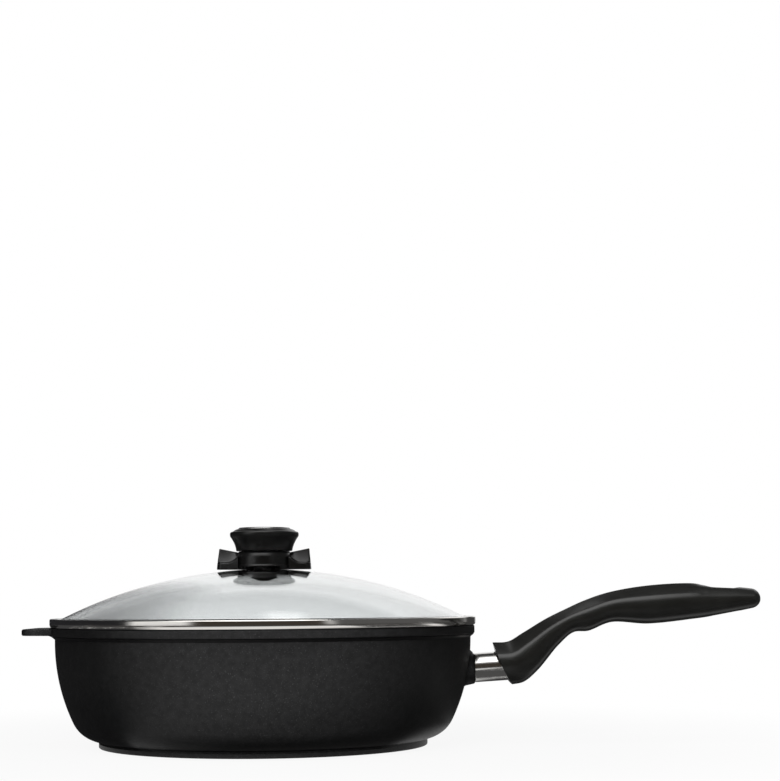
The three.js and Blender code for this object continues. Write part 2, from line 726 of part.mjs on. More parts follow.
function knobGrip() {
  const crownTop = knobLow + CROWN_HEIGHT;
  const path = outline([[insertBore, knobLow], [KNOB_FOOT, knobLow]]);
  path.quadraticCurveTo(KNOB_WAIST, knobLow + FLANGE_HEIGHT / 2, flangeRadius, knobLow + FLANGE_HEIGHT);
  path.quadraticCurveTo(flangeRadius + KNOB_BULGE / 2, crownTop, crownRadius, crownTop);
  path.lineTo(capBed, knobLow + KNOB_HEIGHT);
  path.lineTo(capBed, capSeat);
  path.lineTo(knobScrewBed, capSeat);
  path.lineTo(knobScrewBed, knobScrewSeat);
  path.lineTo(insertBore, knobScrewSeat);
  path.lineTo(insertBore, knobLow);
  const socket = hexagon(KEY_RADIUS + FIT, knobLow - PAST, keyTop + FIT);
  return revolve(path, KNOB_STEPS).subtract(socket);
}

function knobCap() {
  const low = capSeat + FIT;
  const path = outline([[0, low], [CAP_RADIUS, low], [CAP_RADIUS, low + CAP_RIM]]);
  path.quadraticCurveTo(CAP_RADIUS - CAP_EDGE, low + CAP_RIM + CAP_DOME, 0, low + CAP_RIM + CAP_DOME);
  return revolve(path, KNOB_STEPS);
}

function knobInsert() {
  return ring(insertBore, insertRadius, insertLow, keyTop, SMALL_STEPS);
}

function knobScrew() {
  const headFloor = knobScrewSeat + FIT;
  const top = headFloor + KNOB_SCREW_HEAD_DEPTH;
  const shank = rod(KNOB_SCREW_RADIUS, keyTop - KNOB_SCREW_ENTRY, headFloor + FIT, SMALL_STEPS);
  const head = rod(KNOB_SCREW_HEAD, headFloor, top, SMALL_STEPS);
  return shank.add(head).subtract(crossSlot(KNOB_SCREW_HEAD * CROSS_SHARE, top - CROSS_DEPTH, top + PAST));
}

// Finishes and assembly

function finish(color, roughness, metalness) {
  return new THREE.MeshStandardMaterial({ color, roughness, metalness });
}

const castBlack = finish(0x202022, 0.6, 0.2);
const phenolic = finish(0x1c1c1a, 0.45, 0);
const polished = finish(0xc8c8c6, 0.15, 1);
const brushed = finish(0xa8a8a8, 0.4, 1);
const zinc = finish(0x8f9092, 0.35, 1);
const brass = finish(0xb58d3d, 0.35, 1);
const silicone = finish(0x2b2b2b, 0.8, 0);
const clear = finish(0xdfe8ea, 0.05, 0);

function piece(name, solid, material) {
  const mesh = new THREE.Mesh(toGeometry(solid), material);
  mesh.name = name;
  return mesh;
}

const part = new THREE.Group();
part.name = "deep_pan_with_glass_lid";

handle.add(
  piece("lug_bush", threadedBush(), zinc),
  piece("handle_ferrule", ferrule(), polished),
  piece("handle_grip", handleGrip(), phenolic),
  piece("handle_screw", handleScrew(), zinc),
  piece("handle_spring_washer", springWasher(), zinc),
);

part.add(
  piece("pan_body", panBody(), castBlack),
  piece("induction_disc", inductionDisc(), brushed),
  handle,
  piece("lid_glass", lidGlass(), clear),
  piece("lid_rim_band", lidBand(), polished),
  piece("upper_gasket", upperGasket(), silicone),
  piece("lower_gasket", lowerGasket(), silicone),
  piece("steam_stud", steamStud(), polished),
  piece("retaining_nut", retainingNut(), phenolic),
  piece("vent_seat", ventSeat(), phenolic),
  piece("vent_collar", ventCollar(), phenolic),
  piece("wave_washer", waveWasher(), brushed),
  piece("knob_insert", knobInsert(), brass),
  piece("knob_grip", knobGrip(), phenolic),
  piece("knob_screw", knobScrew(), zinc),
  piece("knob_cap", knobCap(), brushed),
);

export default part;
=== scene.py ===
# A deep black pan with a domed glass lid, dressed piece by piece over its solids.
from math import acos, asin, atan2, ceil, cos, hypot, pi, prod, radians, sin, sqrt, tan

import bmesh
import bpy
from mathutils import Matrix, Vector


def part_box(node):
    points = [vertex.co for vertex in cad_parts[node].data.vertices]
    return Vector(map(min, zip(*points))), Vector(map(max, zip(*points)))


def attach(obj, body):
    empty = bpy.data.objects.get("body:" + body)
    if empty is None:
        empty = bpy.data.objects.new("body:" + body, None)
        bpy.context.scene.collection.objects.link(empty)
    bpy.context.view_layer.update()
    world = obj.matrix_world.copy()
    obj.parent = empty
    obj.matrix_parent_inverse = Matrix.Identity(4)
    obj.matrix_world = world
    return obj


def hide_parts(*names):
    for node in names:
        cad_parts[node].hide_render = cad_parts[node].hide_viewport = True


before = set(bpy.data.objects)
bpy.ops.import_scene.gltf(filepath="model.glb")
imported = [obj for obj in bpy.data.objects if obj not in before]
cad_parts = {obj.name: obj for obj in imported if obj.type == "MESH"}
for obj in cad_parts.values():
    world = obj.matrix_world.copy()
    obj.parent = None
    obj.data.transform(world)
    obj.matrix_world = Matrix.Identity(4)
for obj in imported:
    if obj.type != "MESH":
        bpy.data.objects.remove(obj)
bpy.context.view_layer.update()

# Sizes are in millimetres and the scene is in metres
MM = 0.001
TINY = 1e-6
FIT = 0.3
CUT_PAST = 1.5


def span(node):
    """Lowest and highest corner of a solid in millimetres."""
    low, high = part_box(node)
    return low / MM, high / MM


# Fineness of the round work
LID_COLUMNS = 224
KNOB_COLUMNS = 120
SMALL_COLUMNS = 48
ARC_STEP = radians(11)
SMOOTH_ANGLE = radians(38)
WELD = 1e-7
EMPTY = 1e-8

# Pan body
pan_low, pan_high = span("pan_body")
RIM_RADIUS = pan_high.y
PAN_HEIGHT = pan_high.z
RIM_DEPTH = 5.9
RIM_SLOPE = 2.1
RIM_PROUD = 2.8
RIM_EDGE = 1.2
WALL = 4
FLOOR = 8
SIDE_SWEEP = 128
CORNER = 22
INNER_CORNER = 23
CORNER_LIFT = 4.6
FOOT_INSET = 30.4
FOOT_EDGE = 0.8
MOUTH_LEAD = 1.6
MOUTH_EDGE = 0.8
LINING_SINK = 1
COARSE_COLUMN = radians(1.2)
FINE_COLUMN = radians(0.3)
WALL_ROWS = 90
CORNER_ROWS = 22
LINING_ROWS = 30
FLOOR_ROWS = 5

# Steel disc let into the foot
disc_high = span("induction_disc")[1]
DISC_RING_STEP = 3.0
DISC_RING_DEPTH = 0.25
DISC_EDGE = 0.4
DISC_COLUMNS = 180

# Helper tab opposite the handle
TAB_END = pan_low.x
TAB_HALF_WIDTH = 36
TAB_FLARE = 9
TAB_CORNER = 13
TAB_DROP = 0.8
TAB_DEPTH = 4.4
TAB_ROWS = 6
TAB_EDGE = 1.1
TAB_RAMP = 1.5
TAB_HALF_ANGLE = radians(22)

# Lug on the wall
LUG_DROP = 29.8
LUG_REACH = 4
LUG_MARGIN = 0.5
LUG_TILT = radians(3.6)
LUG_SKIRT = 0.2
LUG_HALF_ANGLE = radians(11)
TONGUE_LENGTH = 16

# Steel ferrule
FERRULE_LENGTH = 29.5
FERRULE_HEIGHT = 20
FERRULE_WIDTH = 25
FERRULE_SHEET = 1
FERRULE_EDGE = 0.35
FERRULE_COLUMNS = 96

# Handle
GRIP_COVER_TOP = 6.4
GRIP_COVER_SIDE = 2.8
GRIP_COVER_UNDER = 3.2
GRIP_LAP_TOP = 15.4
GRIP_LAP_UNDER = 4
GRIP_ELBOW_BACK = 4.5
GRIP_ELBOW_REACH = 4.2
GRIP_ELBOW_LIFT = 1.3
GRIP_LENGTH = 172.9
GRIP_CREST = 48.1
GRIP_DEPTH = 26.3
GRIP_HALF_WIDTH = 14.6
# Each station: upper reach, rise, lower reach, depth and half width, as shares of the sizes above
GRIP_STATIONS = [
    (0.034, 0.445, 0.088, 0.962, 1),
    (0.13, 0.622, 0.172, 0.711, 0.89),
    (0.216, 0.748, 0.238, 0.627, 0.863),
    (0.293, 0.85, 0.298, 0.802, 0.89),
    (0.393, 0.942, 0.391, 0.787, 0.918),
    (0.556, 1, 0.541, 1, 1),
    (0.737, 0.984, 0.726, 0.926, 0.97),
    (0.781, 0.944, 0.772, 0.833, 0.938),
    (0.925, 0.879, 0.916, 0.605, 0.836),
    (1, 0.83, 0.996, 0.441, 0.781),
]
GRIP_RINGS = 190
GRIP_ROOF_POINTS = 14
GRIP_SIDE_POINTS = 16
GRIP_UNDER_POINTS = 8
FRONT_BOW = 1.6
FRONT_BOW_SHARE = 0.16
FRONT_SHRINK = 0.985
FRONT_EDGE = 0.0024
FLAT_FROM = 0.7
FLAT_TO = 0.82
TIP_SHARE = 0.04
TIP_RINGS = 12
TIP_TURN = radians(86)
EYE_SETBACK = 26
EYE_LENGTH = 22
EYE_WIDTH = 9
EYE_FLARE = 1.2
EYE_ROUND = 0.5
EYE_CLEAR = 12
EYE_CLEAR_FLARE = 4.8

# Corners and pulls of the handle's section, as shares of its half width and half depth
CREASE = (0.8, 0.46)
CREASE_FLAT = (0.86, 0.46)
ROOF_PULL = (0.4, 0.77)
ROOF_PULL_FLAT = (0.5, 1)
SIDE_PULL = (0.98, 0.28)
WIDEST = (1, -0.1)
LOWER_PULL = (0.985, -0.5)
UNDER_TURN = (0.86, -0.72)
UNDER_PULL = (0.7, -1)

# Handle screw and spring washer
SCREW_RADIUS = 3
SCREW_WEB = 7.2
SCREW_HEAD_RADIUS = 5
SCREW_HEAD_DEPTH = 3.4
SCREW_ENTRY = 1
SCREW_LEAD = (0.4, 0.6)
SCREW_HEAD_CROWN = 1.6
SCREW_HEAD_LEAN = 0.4
WASHER_RADIUS = 5.6
WASHER_DEPTH = 1.2
WASHER_SPLIT = radians(12)
WASHER_LIFT = 0.35
WASHER_EDGE = 0.2
WASHER_RINGS = 60
CROSS_WIDTH = 1.2
CROSS_REACH = 6.5
CROSS_DEPTH = 1.6
CROSS_TAPER = 0.7
CROSS_PAST = 1
BUSH_WALL = 1.6
BUSH_ENTRY = 2.5

# Lid
band_low, band_high = span("lid_rim_band")
glass_low, glass_high = span("lid_glass")
BAND_SHEET = 0.8
BAND_TAPER = 2.4
BAND_ROLL = 3.75
BAND_ROLL_HEIGHT = 2.3
BAND_EDGE = 0.6
BAND_KNEE = 2.8
BAND_ROUND = 0.3
LIP_ROUND = 0.35
SKIRT_FOLD = 0.4
INNER_FOLD = 0.6
SKIRT_SLACK = 0.7
LID_GAP = 0.3
GLASS = 3.4
BRIM = 2.4
DOME_RISE = 34.3
DOME_ROWS = 40
GLASS_HOLE = 5.2
STUD_SLACK = 0.4

# Nut, gaskets, collar, knob and cap
NUT_INLET = 2.4
NUT_FLAT = 0.9
NUT_WALL = 1.0
NUT_FLOOR = 0.9
NUT_EDGE = 0.6
NUT_ROUND = 0.2
NUT_POINT_ROUND = 0.5
NUT_SIDE_ROUND = 1.6
NUT_SHOULDER_ROUND = 0.4
NUT_BORE_ROUND = 0.1
GASKET_ROUND = 0.4
SEAT_RADIUS = 17
COLUMN_RADIUS = 8.2
COLUMN_HEIGHT = 7.4
KEY_HEIGHT = 2
COLLAR_WALL = 2.7
COLLAR_STEP = 3.2
COLLAR_EDGE = 0.3
COLLAR_INNER_EDGE = 0.2
HUB_WALL = 2.0
HUB_CHAMFER = (1.3, 3.4)
HUB_KNEE = (0.4, 0.8)
HUB_EDGE = (0.4, 0.3)
SHELF_CHAMFER = (0.5, 0.8)
SHELF_RISE = 0.2
WAVE_WIDTH = 3.6
WING_LEAN = 1.2
WING_DROP = 0.6
FIN_HALF = 3.3
FIN_DRAFT = 2.3
FIN_EDGE = 0.9
FIN_FILLET_ROOT = 3.4
FIN_FILLET_TIP = 2.2
FIN_FILLET_LEAN = 0.3
WEB_RISE = 4
WEB_SHARE = 0.55
PLATE_DEPTH = 4.6
PLATE_HALF_ROOT = 11.5
PLATE_HALF_TIP = 8.5
PLATE_EDGE = 0.5
PLATE_ROUND = 1.2
WING_TIP = 3.0
PLATE_TIP_PULL = 0.34
PLATE_TIP_POWER = 2.4
FIN_TIP_PULL = 0.1
FIN_TIP_POWER = 3
WING_END_WIDTH = 0.93
WING_END_HEIGHT = 0.965
WING_RINGS = 26
VENT_BEARING = radians(264)
VENT_HALF_ANGLE = radians(43)
WINDOW_HEIGHT = 2.1
VENT_TURN = radians(90)
STOP_SIZE = 2.4
STOP_HEIGHT = 1.4
KNOB_FOOT = 19.6
KNOB_WAIST = 20.1
KNOB_BULGE = 1.5
KNOB_EDGE = 0.4
KNOB_LIP = 0.3
KNOB_LIP_PULL = 1.2
FLANGE_HEIGHT = 10.2
CROWN_HEIGHT = 13.5
KNOB_SHOULDER = 3.7
KEY_SOCKET = 6.5
KNOB_SCREW_BED = 4.1
KNOB_SCREW_SEAT = 6.8
KNOB_SCREW_BORE = 2.2
CAP_RING = 0.3
CAP_BEVEL = 0.9
CAP_CROWN = 0.1

# Finishes
COAT_GLOSS = 0.15
# Painted shade on the coat: its colour darkens from 1 to the edge shade over this range of facing
COAT_PAINTED_SHADE_FACING = (0.06, 0.42)
COAT_PAINTED_EDGE_SHADE = 0.3
PLASTIC_GLOSS = 0.45
GLASS_INDEX = 1.5

# Camera: its angles are in radians, the photograph's focal length and height in pixels
CAMERA_PLACE = Vector((88.43, -1275, 102.0)) * MM
CAMERA_PITCH = 0.1117
CAMERA_ROLL = 0.0070
PHOTO_FOCUS = 1821.1
PHOTO_HEIGHT = 781
SENSOR = 36

# Studio, in metres; the cards' steps and fades are in degrees
ROOM_SPAN = (0.3, 0.75)
ROOM_DIM = 0.15
ROOM_PALE = 0.25
FLOOR_SIZE = 4.0
FLOOR_GAP = 0.0004
FLOOR_TONE = 0.5
FLOOR_ROUGHNESS = 0.9
FLOOR_GLOW = 0.92
FLOOR_SHADOW_REACH = (0.18, 0.55)
FLAG_DISTANCE = 3.0
WINDOW_DISTANCE = 0.75
FLAG_STEP = 3.0
FLAG_FADE = (5, 5, 0, 5)
FLAG_LOWEST = 0.003
FLAG_FOCUS = Vector((0.06, 0, 0.07))


# Shared shapes

def add(name, data):
    """New object in the scene."""
    added = bpy.data.objects.new(name, data)
    bpy.context.scene.collection.objects.link(added)
    return added


def mesh_piece(name, points, faces, place=Matrix.Identity(4)):
    """Object made of points in millimetres, with faces that look outwards."""
    mesh = bpy.data.meshes.new(name)
    mesh.from_pydata([place @ (Vector(p) * MM) for p in points], [], faces)
    mesh.validate()
    piece = add(name, mesh)
    clean(piece)
    return piece


def clean(piece):
    """Weld doubled points, drop empty faces, turn faces outwards and shade all but hard edges smooth."""
    work = bmesh.new()
    work.from_mesh(piece.data)
    bmesh.ops.remove_doubles(work, verts=work.verts, dist=WELD)
    bmesh.ops.dissolve_degenerate(work, edges=work.edges, dist=EMPTY)
    bmesh.ops.recalc_face_normals(work, faces=work.faces)
    work.to_mesh(piece.data)
    work.free()
    piece.data.polygons.foreach_set("use_smooth", [True] * len(piece.data.polygons))
    piece.data.set_sharp_from_angle(angle=SMOOTH_ANGLE)


def lathe(name, profile, columns, place=Matrix.Identity(4)):
    """Closed profile of (radius, height) points turned about +Z; points on the axis stay single."""
    rings = []
    for radius, height in profile:
        turns = spread(0, 2 * pi, columns)[:-1] if radius > TINY else [0]
        rings.append([(radius * cos(t), radius * sin(t), height) for t in turns])
    points, rows = numbered(rings)
    return mesh_piece(name, points, grid_faces(rows, True), place)


def numbered(rings):
    """All points of the rings, and the numbers of each ring's points; one point stands for a whole ring."""
    count = max(len(ring) for ring in rings)
    points, rows = [], []
    for ring in rings:
        rows.append([len(points) + i % len(ring) for i in range(count)])
        points += ring
    return points, rows


def grid_faces(rows, closed):
    """Quads between neighbouring rows of point numbers, each row a ring."""
    faces = []
    count = len(rows)
    for i in range(count if closed else count - 1):
        low, high = rows[i], rows[(i + 1) % count]
        for j in range(len(low)):
            k = (j + 1) % len(low)
            face = list(dict.fromkeys([low[j], low[k], high[k], high[j]]))
            if len(face) > 2:
                faces.append(face)
    return faces


def loft(name, rings, place=Matrix.Identity(4)):
    """Closed solid through rings of the same number of points, with flat ends."""
    points, rows = numbered(rings)
    faces = grid_faces(rows, False)
    faces.append(rows[0][::-1])
    faces.append(rows[-1])
    return mesh_piece(name, points, faces, place)


def spread(first, last, steps):
    """Evenly spaced values from first to last."""
    return [first + (last - first) * i / steps for i in range(steps + 1)]


def arc(centre, radius, start, end, steps):
    """Points of an arc round a centre."""
    turns = spread(start, end, steps)
    return [(centre[0] + radius * cos(t), centre[1] + radius * sin(t)) for t in turns]


def bend(start, pull, end, steps):
    """Points of a quadratic curve from start to end that leans towards pull."""
    points = []
    for t in spread(0, 1, steps):
        weights = ((1 - t) ** 2, 2 * t * (1 - t), t * t)
        points.append(tuple(sum(w * p[k] for w, p in zip(weights, (start, pull, end))) for k in (0, 1)))
    return points


def rounded(corners):
    """Closed outline whose (x, y, radius) corners are turned into arcs."""
    outline = []
    count = len(corners)
    for i, (x, y, radius) in enumerate(corners):
        here = Vector((x, y))
        if radius == 0:
            outline.append((x, y))
            continue
        back = (Vector(corners[i - 1][:2]) - here).normalized()
        ahead = (Vector(corners[(i + 1) % count][:2]) - here).normalized()
        half = back.angle(ahead) / 2
        centre = here + (back + ahead).normalized() * radius / sin(half)
        first = here + back * radius / tan(half) - centre
        last = here + ahead * radius / tan(half) - centre
        start = atan2(first.y, first.x)
        turn = (atan2(last.y, last.x) - start + pi) % (2 * pi) - pi
        outline += arc(centre, radius, start, start + turn, max(2, ceil(abs(turn) / ARC_STEP)))
    return outline


def oval(half_width, half_height, count):
    """Ring of (y, z) points."""
    turns = [2 * pi * i / count for i in range(count)]
    return [(half_width * cos(t), half_height * sin(t)) for t in turns]


def rectangle(x, y, height):
    """Corners of a level rectangle with half sizes x and y round the axis."""
    return [(-x, -y, height), (x, -y, height), (x, y, height), (-x, y, height)]


def combine(target, cutter, operation):
    """Join a cutter to the target or take it away, and remove the cutter."""
    change = target.modifiers.new("shape", "BOOLEAN")
    change.operation = operation
    change.solver = "EXACT"
    change.object = cutter
    depsgraph = bpy.context.evaluated_depsgraph_get()
    shaped = bpy.data.meshes.new_from_object(target.evaluated_get(depsgraph))
    target.modifiers.clear()
    target.data = shaped
    bpy.data.objects.remove(cutter, do_unlink=True)
    clean(target)


def place(piece, body, slot, material, *nodes):
    """Let a piece ride on a body and stand for solids, with a finish."""
    piece.data.materials.clear()
    piece.data.materials.append(material)
    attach(piece, body)
    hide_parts(*nodes)
    return piece


# Materials

class Wiring:
    """A node tree with short ways to add nodes."""

    def __init__(self, tree):
        self.nodes = tree.nodes
        self.links = tree.links

    def wire(self, node, *wires):
        """Give sockets, named or numbered, an output or a value."""
        for socket, source in wires:
            if isinstance(source, bpy.types.NodeSocket):
                self.links.new(source, node.inputs[socket])
            else:
                node.inputs[socket].default_value = source

    def node(self, kind, *wires):
        node = self.nodes.new(kind)
        self.wire(node, *wires)
        return node

    def work(self, kind, operation, *values):
        """Outputs of a calculation."""
        node = self.node(kind, *enumerate(values))
        node.operation = operation
        return node.outputs

    def ramp(self, value, low, high, first, last):
        """Colours from first to last as the value goes from low to high."""
        ramp = self.node("ShaderNodeValToRGB", ("Fac", value))
        for stop, position, colour in zip(ramp.color_ramp.elements, (low, high), (first, last)):
            stop.position = position
            stop.color = (*colour, 1)
        return ramp.outputs["Color"]

    def mix(self, share, first, last):
        """First colour where the share is black, last where it is white."""
        mix = self.node("ShaderNodeMix")
        mix.data_type = "RGBA"
        self.wire(mix, (0, share), (6, first), (7, (*last, 1)))
        return mix.outputs[2]


class Finish(Wiring):
    """A material with a principled shader and short ways to add texture."""

    def __init__(self, name, colour, roughness, metallic=0.0):
        self.material = bpy.data.materials.new(name)
        self.material.use_nodes = True
        super().__init__(self.material.node_tree)
        self.shader = self.nodes["Principled BSDF"]
        self.wire(self.shader, ("Base Color", (*colour, 1)), ("Roughness", roughness), ("Metallic", metallic))
        self.where = self.node("ShaderNodeTexCoord").outputs["Object"]
        self.height = None

    def noise(self, where, scale, detail):
        wires = (("Vector", where), ("Scale", scale), ("Detail", detail))
        return self.node("ShaderNodeTexNoise", *wires).outputs["Fac"]

    def grain(self, scale, detail=3.0, stretch=(1, 1, 1)):
        """Noise over the surface; the scale counts grains to a metre."""
        mapping = self.node("ShaderNodeMapping", ("Vector", self.where), ("Scale", stretch))
        return self.noise(mapping.outputs["Vector"], scale, detail)

    def rings(self, scale):
        """Fine lines that run round the Z axis."""
        parts = self.node("ShaderNodeSeparateXYZ", ("Vector", self.where)).outputs
        flat = self.node("ShaderNodeCombineXYZ", ("X", parts["X"]), ("Y", parts["Y"]))
        radius = self.work("ShaderNodeVectorMath", "LENGTH", flat.outputs["Vector"])["Value"]
        line = self.node("ShaderNodeCombineXYZ", ("X", radius), ("Y", parts["Z"]))
        return self.noise(line.outputs["Vector"], scale, 2.0)

    def turned(self, facing, last):
        """Painted shade: grey that goes from 1 to last as the surface turns away from the eye, to darken a
        colour towards the edges.
        """
        weight = self.node("ShaderNodeLayerWeight").outputs["Facing"]
        return self.ramp(weight, *facing, grey(1), grey(last))

    def feed(self, socket, value):
        self.wire(self.shader, (socket, value))

    def sheen(self, value, smooth, rough):
        """Let the roughness follow a value from smooth to rough."""
        wires = (("Value", value), ("To Min", smooth), ("To Max", rough))
        self.feed("Roughness", self.node("ShaderNodeMapRange", *wires).outputs["Result"])

    def bump(self, value, strength, depth):
        """Add relief; several reliefs follow on from each other."""
        wires = (("Strength", strength), ("Distance", depth * MM), ("Height", value))
        bump = self.node("ShaderNodeBump", *wires)
        if self.height is not None:
            self.wire(bump, ("Normal", self.height))
        self.height = bump.outputs["Normal"]
        self.feed("Normal", self.height)

    def cover(self, share, glow):
        """Glow instead of showing the shader, where the share is 1."""
        wires = (("Fac", share), (1, self.shader.outputs["BSDF"]), (2, glow.outputs["Emission"]))
        mix = self.node("ShaderNodeMixShader", *wires)
        self.wire(self.nodes["Material Output"], ("Surface", mix.outputs["Shader"]))


def grey(level):
    return (level, level, level)


def cast_coat(name, relief, fleck, dark, light):
    """Speckled non-stick coat on cast metal, with painted shade that darkens its colour towards the edges as
    the surface turns away from the eye.
    """
    coat = Finish(name, dark, 0.5)
    tone = coat.ramp(coat.grain(260), 0.35, 0.68, dark, light)
    specks = coat.ramp(coat.grain(1500, 1.0), 0.66, 0.72, grey(0), grey(1))
    # Painted shade: the coat's colour is darkened where the surface turns away from the eye
    shade = coat.turned(COAT_PAINTED_SHADE_FACING, COAT_PAINTED_EDGE_SHADE)
    painted_shade_colour = coat.work("ShaderNodeVectorMath", "MULTIPLY", coat.mix(specks, tone, fleck), shade)
    coat.feed("Base Color", painted_shade_colour["Vector"])
    coat.sheen(coat.grain(700), 0.42, 0.56)
    coat.feed("Specular IOR Level", COAT_GLOSS)
    coat.bump(coat.grain(420), relief, 0.35)
    coat.bump(coat.grain(1700), relief, 0.14)
    return coat.material


def phenolic(name, dark, light):
    """Satin moulded plastic with a faint bloom."""
    satin = Finish(name, dark, 0.3)
    satin.feed("Base Color", satin.ramp(satin.grain(90), 0.3, 0.7, dark, light))
    satin.sheen(satin.grain(300), 0.26, 0.33)
    satin.feed("Specular IOR Level", PLASTIC_GLOSS)
    satin.bump(satin.grain(2600), 0.12, 0.05)
    return satin.material


def bright_steel(name, colour, smooth, rough, lines, relief):
    """Steel with fine lines round the axis, from polished to turned."""
    steel = Finish(name, colour, smooth, 1.0)
    rings = steel.rings(lines)
    steel.sheen(rings, smooth, rough)
    steel.bump(rings, relief, 0.03)
    return steel.material


def drawn_steel():
    """Polished steel with faint lines along the handle."""
    steel = Finish("drawn_steel", (0.66, 0.65, 0.63), 0.14, 1.0)
    lines = steel.grain(900, 2.0, (0.04, 1, 1))
    steel.sheen(lines, 0.1, 0.22)
    steel.bump(lines, 0.06, 0.03)
    return steel.material


def plated_metal(name, colour):
    """Plated or machined fastener metal with uneven sheen."""
    metal = Finish(name, colour, 0.35, 1.0)
    metal.sheen(metal.grain(500), 0.25, 0.45)
    metal.bump(metal.grain(2200), 0.1, 0.03)
    return metal.material


def silicone_rubber():
    """Matt rubber."""
    rubber = Finish("silicone_rubber", grey(0.02), 0.75)
    rubber.sheen(rubber.grain(800), 0.65, 0.85)
    rubber.bump(rubber.grain(2000), 0.15, 0.05)
    return rubber.material


def lid_glass_finish():
    """Clear glass with a trace of green and faint smears."""
    glass = Finish("clear_glass", (0.965, 0.987, 0.99), 0.0)
    glass.feed("Transmission Weight", 1.0)
    glass.feed("IOR", GLASS_INDEX)
    glass.sheen(glass.grain(38, 4.0, (1, 0.5, 1)), 0.0, 0.014)
    return glass.material


CAST = cast_coat("cast_coat", 0.16, (0.055, 0.055, 0.056), (0.0172, 0.0172, 0.0175), (0.0246, 0.0246, 0.025))
LINING = cast_coat("pan_lining", 0.08, grey(0.05), grey(0.018), grey(0.023))
# Lit and shaded copies of one phenolic: the grip's colour is painted lighter and the knob's and collar's
# painted darker as shade
GRIP_PHENOLIC_PAINTED_LIGHT = phenolic("grip_phenolic_painted_light", (0.0082, 0.0082, 0.0074), (0.0112, 0.0112, 0.0102))
PHENOLIC_PAINTED_SHADE = phenolic("knob_phenolic_painted_shade", (0.0035, 0.0035, 0.0034), (0.005, 0.005, 0.0048))
BAND_STEEL = bright_steel("polished_band_steel", (0.72, 0.70, 0.67), 0.07, 0.16, 3500, 0.05)
TURNED_STEEL = bright_steel("turned_base_steel", (0.55, 0.55, 0.54), 0.28, 0.48, 1800, 0.3)
CAP_STEEL = bright_steel("brushed_cap_steel", (0.27, 0.27, 0.266), 0.2, 0.3, 2600, 0.12)
FERRULE_STEEL = drawn_steel()
ZINC = plated_metal("zinc_plate", (0.5, 0.5, 0.51))
BLACKENED = plated_metal("blackened_steel", grey(0.05))
BRASS = plated_metal("machined_brass", (0.6, 0.42, 0.16))
SILICONE = silicone_rubber()
CLEAR = lid_glass_finish()


# Pan body

wall_radius = RIM_RADIUS - RIM_PROUD
mouth_radius = wall_radius - WALL
foot_radius = wall_radius - FOOT_INSET
side_top = PAN_HEIGHT - RIM_DEPTH - RIM_SLOPE
side_centre = wall_radius - SIDE_SWEEP
tab_top = PAN_HEIGHT - TAB_DROP
tab_lift = RIM_DEPTH - TAB_DROP - TAB_DEPTH


def corner_arc(sweep, radius, lowest):
    """Centre and end direction of the corner that touches the side's sweep."""
    height = lowest + radius
    drop = side_top - height
    run = sqrt((sweep - radius) ** 2 - drop ** 2)
    return (side_centre + run, height), atan2(-drop, run)


def wall_radius_at(height):
    return side_centre + sqrt(SIDE_SWEEP ** 2 - (side_top - height) ** 2)


lug_height = PAN_HEIGHT - LUG_DROP
lug_face = wall_radius_at(lug_height) + LUG_REACH
handle_place = Matrix.Translation(Vector((lug_face, 0, lug_height)) * MM) @ Matrix.Rotation(-LUG_TILT, 4, "Y")
along_x = handle_place @ Matrix(((0, 0, 1, 0), (1, 0, 0, 0), (0, 1, 0, 0), (0, 0, 0, 1)))


def tab_outline():
    """Half of the tab's plan from its root to the middle of its end."""
    root_half = TAB_HALF_WIDTH + TAB_FLARE
    root = -sqrt(mouth_radius ** 2 - root_half ** 2)
    side = (TAB_END + TAB_CORNER, TAB_HALF_WIDTH)
    corner = bend(side, (TAB_END, TAB_HALF_WIDTH), (TAB_END, TAB_HALF_WIDTH - TAB_CORNER), 12)
    return [(root, root_half), *corner, (TAB_END, 0)]


def tab_reach(bearing):
    """How far the tab stands out of the rim in a bearing from the -X axis."""
    ray = Vector((-cos(bearing), abs(sin(bearing))))
    outline = tab_outline()
    best = RIM_RADIUS
    for (x0, y0), (x1, y1) in zip(outline, outline[1:]):
        cross = ray.x * (y1 - y0) - ray.y * (x1 - x0)
        if abs(cross) < TINY:
            continue
        far = (x0 * (y1 - y0) - y0 * (x1 - x0)) / cross
        along = (x0 * ray.y - y0 * ray.x) / cross
        if -TINY <= along <= 1 + TINY and far > best:
            best = far
    return best - RIM_RADIUS


